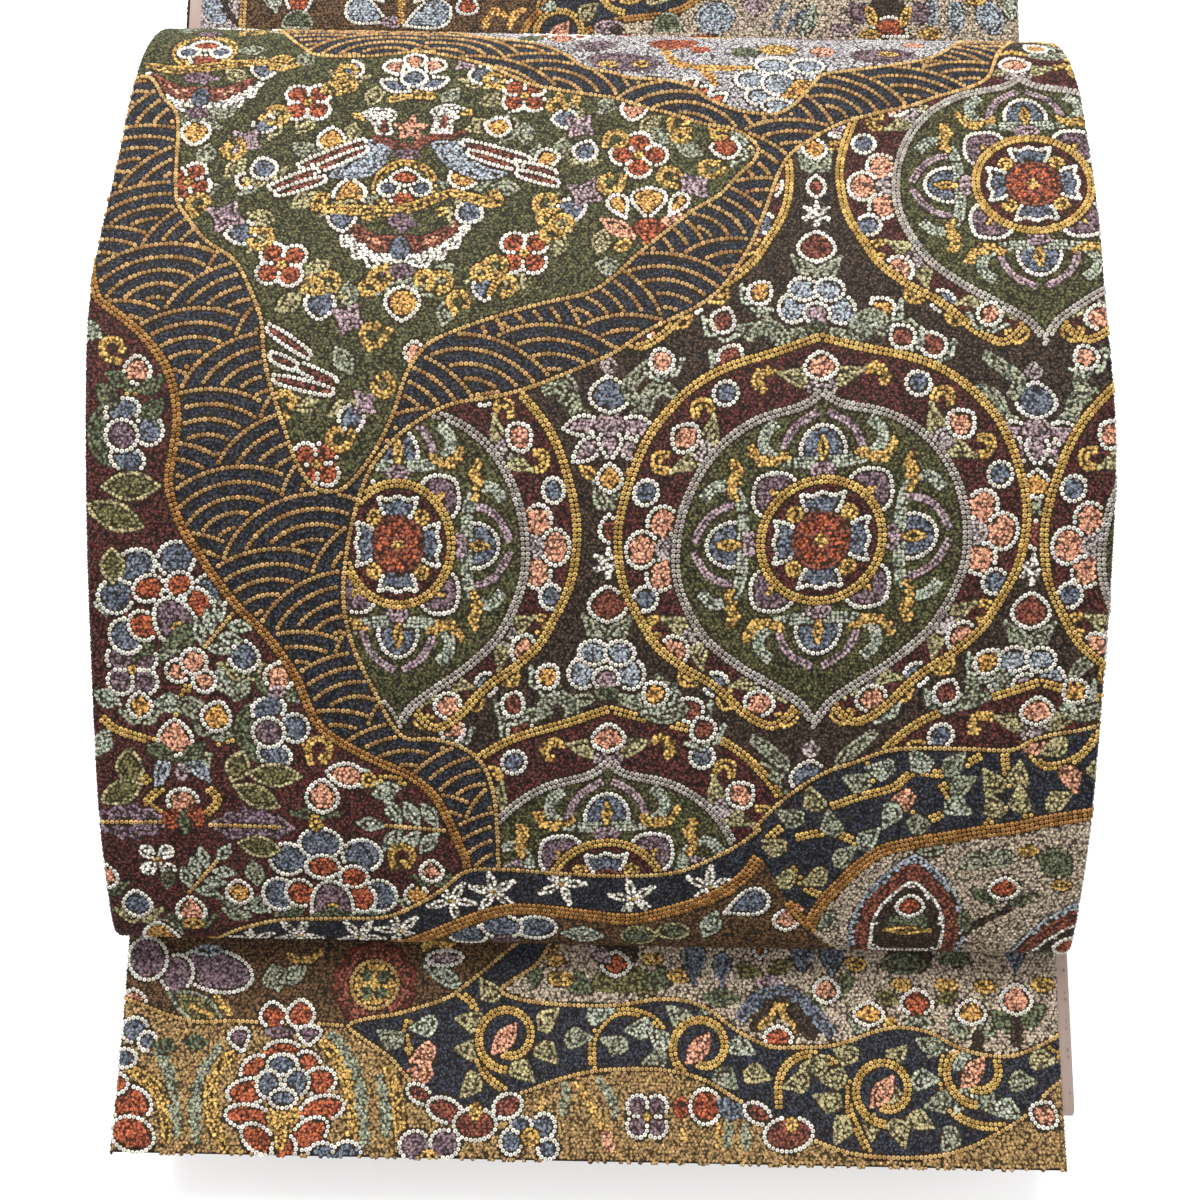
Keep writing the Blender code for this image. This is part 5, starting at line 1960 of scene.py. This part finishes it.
def knot_pieces(name, stretch, kind, places, threads, look):
    """Joined knots of one kind, in as many pieces as keep each under MOST_TRIANGLES.

    A knot's foot is a small polygon on the ground cloth. A ring knot has a smaller polygon above it and a
    dimple in its middle; the others end in one point. Each knot's colour carries painted shade and
    highlight: darker at the foot and in a ring knot's dimple, lighter at a crest or a point.
    """
    knot = KNOTS[kind]
    ringed = bool(knot.crest_radius)
    first = np.arange(knot.sides)
    following = np.roll(first, -1)
    if ringed:
        low, high = (first, following), (first + knot.sides, following + knot.sides)
        corners = (*low, high[1]), (first, high[1], high[0]), (*high, np.full(knot.sides, 2 * knot.sides))
    else:
        corners = ((first, following, np.full(knot.sides, knot.sides)),)
    knot_faces = np.vstack([np.column_stack(corner) for corner in corners])
    count = max(1, math.ceil(len(places) * len(knot_faces) / MOST_TRIANGLES))
    pieces = []
    order = np.argsort(places[:, 1], kind="stable")
    for part, chosen in enumerate(np.array_split(order, count)):
        u, v = places[chosen].T
        thread = threads[chosen]
        amount = len(u)
        foot, outward, across = stretch.place(u, stretch.zero - v, np.full(amount, -KNOT_SINK))
        along = np.cross(outward, across)
        outward = outward + rng.normal(0, KNOT_TILT, (amount, 1)) * across
        outward = outward + rng.normal(0, KNOT_TILT, (amount, 1)) * along
        scale = 1 + rng.normal(0, KNOT_SIZE_SPREAD, amount)
        angle = rng.uniform(0, 2 * math.pi, amount)[:, None] + first * 2 * math.pi / knot.sides
        round_it = np.cos(angle)[..., None] * across[:, None] + np.sin(angle)[..., None] * along[:, None]
        rings = [foot[:, None] + (knot.radius * scale)[:, None, None] * round_it]
        tall = (knot.height * scale * rng.uniform(*KNOT_TALLNESS, amount))[:, None]
        if ringed:
            crest = (knot.crest_radius * scale)[:, None, None] * round_it
            rings.append((foot + outward * tall)[:, None] + crest)
            rings.append((foot + outward * (tall * knot.dimple / knot.height))[:, None])
            # Painted shade at the foot and in the dimple, painted highlight on the crest.
            shades = [
                np.full((amount, knot.sides), KNOT_FOOT_PAINTED_SHADE),
                rng.normal(*CREST_PAINTED_HIGHLIGHT, (amount, knot.sides)),
                np.full((amount, 1), KNOT_DIMPLE_PAINTED_SHADE),
            ]
        else:
            rings.append((foot + outward * tall)[:, None])
            # Painted shade at the foot, painted highlight at the point.
            foot_painted_shade = rng.normal(*MOUND_FOOT_PAINTED_SHADE, (amount, knot.sides))
            shades = [foot_painted_shade, np.full((amount, 1), MOUND_TOP_PAINTED_HIGHLIGHT)]
        points = np.concatenate(rings, 1)
        faces = knot_faces[None] + (np.arange(amount) * points.shape[1])[:, None, None]
        second = rng.random(amount) < SECOND_SHARES[thread]
        colour = np.where(second[:, None], SECOND_SHADES[thread], FIRST_SHADES[thread])
        colour = colour * np.exp(rng.normal(0, SHADE_SPREAD, (amount, 1)))
        colour = colour * np.exp(rng.normal(0, HUE_SPREAD, (amount, 3)))
        # Each corner's colour is the knot's colour times its painted shade or highlight.
        colours = (colour[:, None] * np.concatenate(shades, 1)[..., None]).reshape(-1, 3)
        own_name = f"{name}_{kind}_knots" + (f"_{part + 1}" if count > 1 else "")
        points, faces = points.reshape(-1, 3), faces.reshape(-1, 3)
        coiled = 0 if ringed else 1
        pieces.append(new_piece(own_name, points, faces, look, colours, coiled=coiled))
    return pieces


def sewn(name, stretch, chart, look):
    """All the knots of a chart, sewn on its stretch."""
    pieces = []
    for kind, (places, threads) in chart.knots().items():
        if len(places):
            pieces += knot_pieces(name, stretch, kind, places, threads, look)
    return pieces


# The knots where no chart is: how far apart, how often the ground's colour changes, and in what threads.
RIM_PITCH = 1.32
RIM_CHANGES = 120
RIM_COLOURS = ("olive", "brown", "burgundy", "navy", "tan", "dark_brown", "beige", "cloud")
RIM_ACCENTS = ("gold", "white", "salmon", "blue", "sage")


def thread_numbers(names):
    """The numbers of some threads."""
    return np.array([THREAD_NUMBER[name] for name in names])


def rim_knots(name, stretch, parts, look):
    """Knots on parts of a stretch that has no chart: each part is (from u, to u, from s, to s).

    Their colours change along the band as its pattern does.
    """
    found = []
    for low_u, high_u, low_s, high_s in parts:
        across = np.arange(low_u + RIM_PITCH / 2, high_u, RIM_PITCH)
        u, s = np.meshgrid(across, np.arange(low_s, high_s, RIM_PITCH * 0.87))
        u = u + (np.arange(u.shape[0]) % 2)[:, None] * RIM_PITCH / 2
        found.append(np.column_stack((u.ravel(), s.ravel())))
    places = np.vstack(found)
    places += rng.normal(0, 0.12 * RIM_PITCH, places.shape)
    places = places[np.abs(places[:, 0]) < EDGE_U]
    changes = np.cumsum(rng.uniform(25, 80, RIM_CHANGES))
    grounds = rng.integers(0, len(RIM_COLOURS), RIM_CHANGES + 1)
    slant = places[:, 1] + 0.35 * places[:, 0]
    threads = thread_numbers(RIM_COLOURS)[grounds[np.searchsorted(changes, slant)]]
    accents = thread_numbers(RIM_ACCENTS)
    accented = np.sin(slant / 7.1) * np.sin(slant / 3.3 + places[:, 0] / 9) > 0.55
    threads = np.where(accented, accents[(slant // 17).astype(int) % len(accents)], threads)
    places[:, 1] = stretch.zero - places[:, 1]
    return knot_pieces(name, stretch, "seed", places, threads, look)


# How many points lie across a cloth, and how many more round each rolled edge.
FRONT_COLUMNS = 17
ROLL_COLUMNS = 3


def cloth(name, stretch, node, look, u, height, thickness, rolled):
    """A cloth over the whole of a stretch, as a shell that goes inward from the height of its outer face."""
    u, s = np.meshgrid(u, stretch.s)
    points = stretch.place(u, s, np.full_like(u, height), rolled)[0].reshape(-1, 3)
    faces = grid_faces(*u.shape)
    uv = np.column_stack((u.ravel(), s.ravel()))
    piece = new_piece(name, points, faces[:, ::-1] if rolled else faces, look, None, uv)
    wall = piece.modifiers.new("wall", "SOLIDIFY")
    wall.thickness = thickness * MM
    wall.offset = -1
    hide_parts(node)
    return piece


def front_cloth(name, stretch, node, look):
    """The front's ground cloth, with both edges rolled down and its outer face at GROUND_LIFT."""
    flat = np.linspace(-FLAT_HALF, FLAT_HALF, FRONT_COLUMNS)
    roll = np.linspace(FLAT_HALF, EDGE_U, ROLL_COLUMNS + 1)[1:]
    across = np.concatenate((-roll[::-1], flat, roll))
    return cloth(name, stretch, node, look, across, 0, GROUND_THICKNESS, True)


def lining_cloth(name, stretch, node, look, left=LINING_HALF, right=LINING_HALF):
    """The lining as a flat shell on the other side of the line, a little short of the rolled edges."""
    across = np.linspace(-left, right, FRONT_COLUMNS)
    height = -GROUND_LIFT - LINING_LIFT
    return cloth(name, stretch, node, look, across, height, LINING_THICKNESS, False)


# ---------------------------------------------------------------- materials


def feed(tree, node, inputs):
    """Sets a node's inputs by name, or links them where another node's output is given."""
    for name, value in inputs.items():
        if isinstance(value, bpy.types.NodeSocket):
            tree.links.new(value, node.inputs[name])
        else:
            node.inputs[name].default_value = value


def add(tree, kind, inputs, **settings):
    """A new shader node with its settings and its inputs."""
    node = tree.nodes.new(f"ShaderNode{kind}")
    for name, value in settings.items():
        setattr(node, name, value)
    feed(tree, node, inputs)
    return node


def calculate(tree, operation, *values):
    """The output of a calculation on numbers and other nodes' outputs."""
    return add(tree, "Math", dict(enumerate(values)), operation=operation).outputs[0]


def new_group(name, given, made):
    """A node group with its own inputs and outputs: its tree, the given sockets and its last node."""
    tree = bpy.data.node_groups.new(name, "ShaderNodeTree")
    for way, sockets in (("INPUT", given), ("OUTPUT", made)):
        for socket in sockets:
            kind = "NodeSocketVector" if socket == "Vector" else "NodeSocketFloat"
            tree.interface.new_socket(socket, in_out=way, socket_type=kind)
    return tree, tree.nodes.new("NodeGroupInput").outputs, tree.nodes.new("NodeGroupOutput")


def fibre_group():
    """Fine uneven fibres, from noise: a brightness that varies round 1 and a height for a bump."""
    tree, given, made = new_group("silk_fibres", ("Vector", "Scale", "Strength"), ("Brightness", "Height"))
    inputs = {"Detail": 3, "Roughness": 0.6, "Vector": given["Vector"], "Scale": given["Scale"]}
    height = add(tree, "TexNoise", inputs).outputs["Fac"]
    centred_height = calculate(tree, "SUBTRACT", height, 0.5)
    brightness = calculate(tree, "MULTIPLY_ADD", centred_height, given["Strength"], 1)
    feed(tree, made, {"Brightness": brightness, "Height": height})
    return tree


def coil_group():
    """Coils of thread as painted shade and highlight: bright round a dark middle and dark between; a glint
    mask.
    """
    tree, given, made = new_group("painted_coil_shade", ("Vector", "Scale"), ("Brightness", "Painted glint"))
    cells = add(tree, "TexVoronoi", {"Vector": given["Vector"], "Scale": given["Scale"]})
    # The ramp paints shade in each coil's middle and between coils, and a highlight on its ring.
    ramp = add(tree, "ValToRGB", {"Fac": cells.outputs["Distance"]})
    stops = ramp.color_ramp.elements
    stops[0].position, stops[1].position = 0.08, 0.70
    stops[0].color, stops[1].color = (0.12, 0.12, 0.12, 1), (0.10, 0.10, 0.10, 1)
    for place, shade in ((0.27, 1.0), (0.46, 0.74)):
        stops.new(place).color = (shade, shade, shade, 1)
    # The painted glint: where the painted highlight is brightest.
    painted_glint = add(tree, "MapRange", {"From Min": 0.86, "Value": ramp.outputs["Color"]})
    feed(tree, made, {"Brightness": ramp.outputs["Color"], "Painted glint": painted_glint.outputs["Result"]})
    return tree


def weave_group():
    """A plain weave: two sets of fine threads that cross, as a height."""
    tree, given, made = new_group("plain_weave", ("Vector", "Threads per metre"), ("Height",))
    parts = add(tree, "SeparateXYZ", {0: given["Vector"]}).outputs
    sines = []
    for axis in ("X", "Y"):
        scaled = calculate(tree, "MULTIPLY", parts[axis], given["Threads per metre"])
        sines.append(calculate(tree, "SINE", scaled))
    crossed = calculate(tree, "MULTIPLY", *sines)
    feed(tree, made, {"Height": calculate(tree, "MULTIPLY_ADD", crossed, 0.5, 0.5)})
    return tree


def new_look(name):
    """A node material: the material, its tree and its shader."""
    look = bpy.data.materials.new(name)
    look.use_nodes = True
    return look, look.node_tree, look.node_tree.nodes["Principled BSDF"]


def bump(tree, height, strength, distance):
    """The direction that a surface faces with a fine relief on it."""
    inputs = {"Strength": strength, "Distance": distance, "Height": height}
    return add(tree, "Bump", inputs).outputs["Normal"]


def scaled_colour(tree, colour, brightness):
    """A colour made brighter or darker."""
    return add(tree, "VectorMath", {0: colour, "Scale": brightness}, operation="SCALE").outputs[0]


def thread_look(fibres, coils):
    """Silk thread in each knot's colour; where its alpha is 1, knots get coils of painted shade, highlight
    and glint.
    """
    look, tree, shader = new_look("embroidery_silk")
    colour = add(tree, "VertexColor", {}, layer_name="thread_colour").outputs
    place = tree.nodes.new("ShaderNodeTexCoord").outputs["Object"]
    fibre_inputs = {"Scale": 2600, "Strength": 0.9, "Vector": place}
    fibre = add(tree, "Group", fibre_inputs, node_tree=fibres).outputs
    coil = add(tree, "Group", {"Scale": 1050, "Vector": place}, node_tree=coils).outputs
    # The coils' painted shade and highlight, raised by COIL_GAIN; ring knots get a flat RING_GAIN.
    coiled = calculate(tree, "MULTIPLY", coil["Brightness"], COIL_GAIN)
    chosen = add(tree, "Mix", {"A": RING_GAIN, "Factor": colour["Alpha"], "B": coiled}).outputs["Result"]
    brightness = calculate(tree, "MULTIPLY", chosen, fibre["Brightness"])
    # A pale colour mixed in where the coils glint: a painted highlight.
    painted_glint = calculate(tree, "MULTIPLY", coil["Painted glint"], colour["Alpha"])
    painted_glint_mix = {
        "B": (*PAINTED_GLINT_COLOUR, 1),
        "Factor": calculate(tree, "MULTIPLY", painted_glint, PAINTED_GLINT_SHARE),
        "A": scaled_colour(tree, colour["Color"], brightness),
    }
    rough = add(tree, "MapRange", {"To Min": 0.45, "To Max": 0.75, "Value": fibre["Height"]})
    feed(tree, shader, {
        "Base Color": add(tree, "Mix", painted_glint_mix, data_type="RGBA").outputs["Result"],
        "Roughness": rough.outputs["Result"],
        "Normal": bump(tree, chosen, 0.5, 0.0003),
        "Specular IOR Level": 0.14,
    })
    return look


# The two shades of each cloth's weave, in sRGB; the ground's are dark as painted shade between the knots.
GROUND_SHADES = ((46, 36, 25), (30, 23, 15))
LINING_SHADES = ((150, 130, 120), (132, 113, 104))


def woven(tree, weave, threads_per_metre, shades):
    """A weave's height, and a colour between two shades that follows it."""
    place = tree.nodes.new("ShaderNodeUVMap").outputs["UV"]
    inputs = {"Threads per metre": threads_per_metre, "Vector": place}
    height = add(tree, "Group", inputs, node_tree=weave).outputs["Height"]
    high, low = ((*linear(shade), 1) for shade in shades)
    colour = add(tree, "Mix", {"A": low, "B": high, "Factor": height}, data_type="RGBA")
    return height, colour.outputs["Result"]


def ground_look(weave):
    """The ground cloth between the knots, made dark as painted shade in the gaps."""
    look, tree, shader = new_look("embroidery_ground")
    _, colour = woven(tree, weave, 9000, GROUND_SHADES)
    feed(tree, shader, {"Base Color": colour, "Roughness": 0.9, "Specular IOR Level": 0.1})
    return look


def lining_look(fibres, weave):
    """Plain taupe silk: a fine weave, slow changes of shade and a soft sheen."""
    look, tree, shader = new_look("lining_silk")
    height, colour = woven(tree, weave, 14000, LINING_SHADES)
    place = tree.nodes.new("ShaderNodeUVMap").outputs["UV"]
    slow = add(tree, "Group", {"Scale": 45, "Strength": 0.25, "Vector": place}, node_tree=fibres)
    feed(tree, shader, {
        "Base Color": scaled_colour(tree, colour, slow.outputs["Brightness"]),
        "Normal": bump(tree, height, 0.3, 0.0001),
        "Roughness": 0.55,
        "Sheen Weight": 0.3,
        "Sheen Roughness": 0.35,
    })
    return look


# ---------------------------------------------------------------- floor, lights and camera


def studio():
    """A pale floor, soft lights from above and the camera."""
    bpy.ops.mesh.primitive_plane_add(size=8)
    floor = bpy.context.object
    floor.name = "floor"
    look, tree, shader = new_look("pale_floor")
    feed(tree, shader, {"Base Color": (0.92, 0.92, 0.92, 1), "Roughness": 0.9})
    floor.data.materials.append(look)

    world = bpy.data.worlds.new("studio")
    world.use_nodes = True
    feed(world.node_tree, world.node_tree.nodes["Background"], {"Color": (1, 1, 1, 1), "Strength": 0.98})
    bpy.context.scene.world = world
    for name, place, size, power in (
        ("far_softbox", (-0.25, 1.0, 1.3), 0.9, 52),
        ("near_fill", (0.3, -0.9, 1.6), 1.4, 6),
    ):
        light = bpy.data.lights.new(name, "AREA")
        light.size = size
        light.energy = power
        lamp = bpy.data.objects.new(name, light)
        lamp.location = place
        aim = np.array((0, 0, 0.05)) - np.array(place)
        flat = math.hypot(aim[0], aim[1])
        lamp.rotation_euler = (math.atan2(flat, -aim[2]), 0, math.atan2(-aim[0], aim[1]))
        bpy.context.scene.collection.objects.link(lamp)

    lens = bpy.data.cameras.new("camera")
    lens.sensor_width = 36
    lens.lens = 42
    camera = bpy.data.objects.new("camera", lens)
    camera.location = (0.003, -0.114, 0.511)
    camera.rotation_euler = (math.radians(9.33), 0, math.radians(1.06))
    bpy.context.scene.collection.objects.link(camera)
    bpy.context.scene.camera = camera
    bpy.context.scene.view_settings.view_transform = "Standard"


studio()


# ---------------------------------------------------------------- the obi

EDGES = ((-EDGE_U, -FLAT_HALF + 1), (FLAT_HALF - 1, EDGE_U))


def edge_parts(low_s, high_s):
    """Both rolled edges of a stretch between two places along it."""
    return [(low_u, high_u, low_s, high_s) for low_u, high_u in EDGES]


fibres, weave = fibre_group(), weave_group()
silk, ground, lining = thread_look(fibres, coil_group()), ground_look(weave), lining_look(fibres, weave)
drum, strip, back = drum_stretch(), strip_stretch(), Stretch(back_line(), layer_shift)
pleat, flap = Stretch(pleat_line(), no_shift), Stretch(flap_line(), no_shift)
rest = Stretch(rest_line(), rest_shift)
charts = {"drum": drum_chart(), "end_flap": flap_chart(), "strip": strip_chart()}
drum_ends = edge_parts(0, drum.zero - DRUM_CHART[1]) + edge_parts(drum.zero - DRUM_CHART[0], drum.length)
strip_end = edge_parts(strip.zero - STRIP_CHART[0], strip.length)

# Each row: name, stretch, parts of its edges that no chart covers, how it is held, the lining's half widths.
STRETCHES = (
    ("strip", strip, strip_end, "laid", STRIP_LINING_HALF, LINING_HALF),
    ("back_layer", back, edge_parts(0, back.length), "folded", LINING_HALF, BACK_LINING_HALF),
    ("drum", drum, drum_ends, "folded", LINING_HALF, LINING_HALF),
    ("pleat", pleat, edge_parts(0, pleat.length), "folded", LINING_HALF, LINING_HALF),
    ("end_flap", flap, edge_parts(0, flap.length - FLAP_CHART[1]), "laid", LINING_HALF, LINING_HALF),
)
for name, stretch, bare_edges, held, left, right in STRETCHES:
    front = front_cloth(f"{name}_front_cloth", stretch, f"{name}_front", ground)
    knots = sewn(name, stretch, charts[name], silk) if name in charts else []
    knots += rim_knots(f"{name}_edge", stretch, bare_edges, silk)
    inside = lining_cloth(f"{name}_lining_cloth", stretch, f"{name}_lining", lining, left, right)

rest_front = front_cloth("rest_front_cloth", rest, "folded_rest_of_band", ground)
rest_y, rest_z = rest.line.T
fold_parts = []
for low_z, high_z in FAR_FOLD_LEVELS:
    turning = rest.s[(rest_z > low_z) & (rest_z < high_z) & (rest_y > FAR_FOLD_START_Y)]
    fold_parts.append((-FLAT_HALF + 1, FLAT_HALF - 1, turning.min(), turning.max()))
rest_knots = rim_knots("rest_edge", rest, edge_parts(0, rest.length) + fold_parts, silk)
rest_lining = lining_cloth("rest_lining_cloth", rest, "folded_rest_of_band", lining)

bpy.context.view_layer.update()
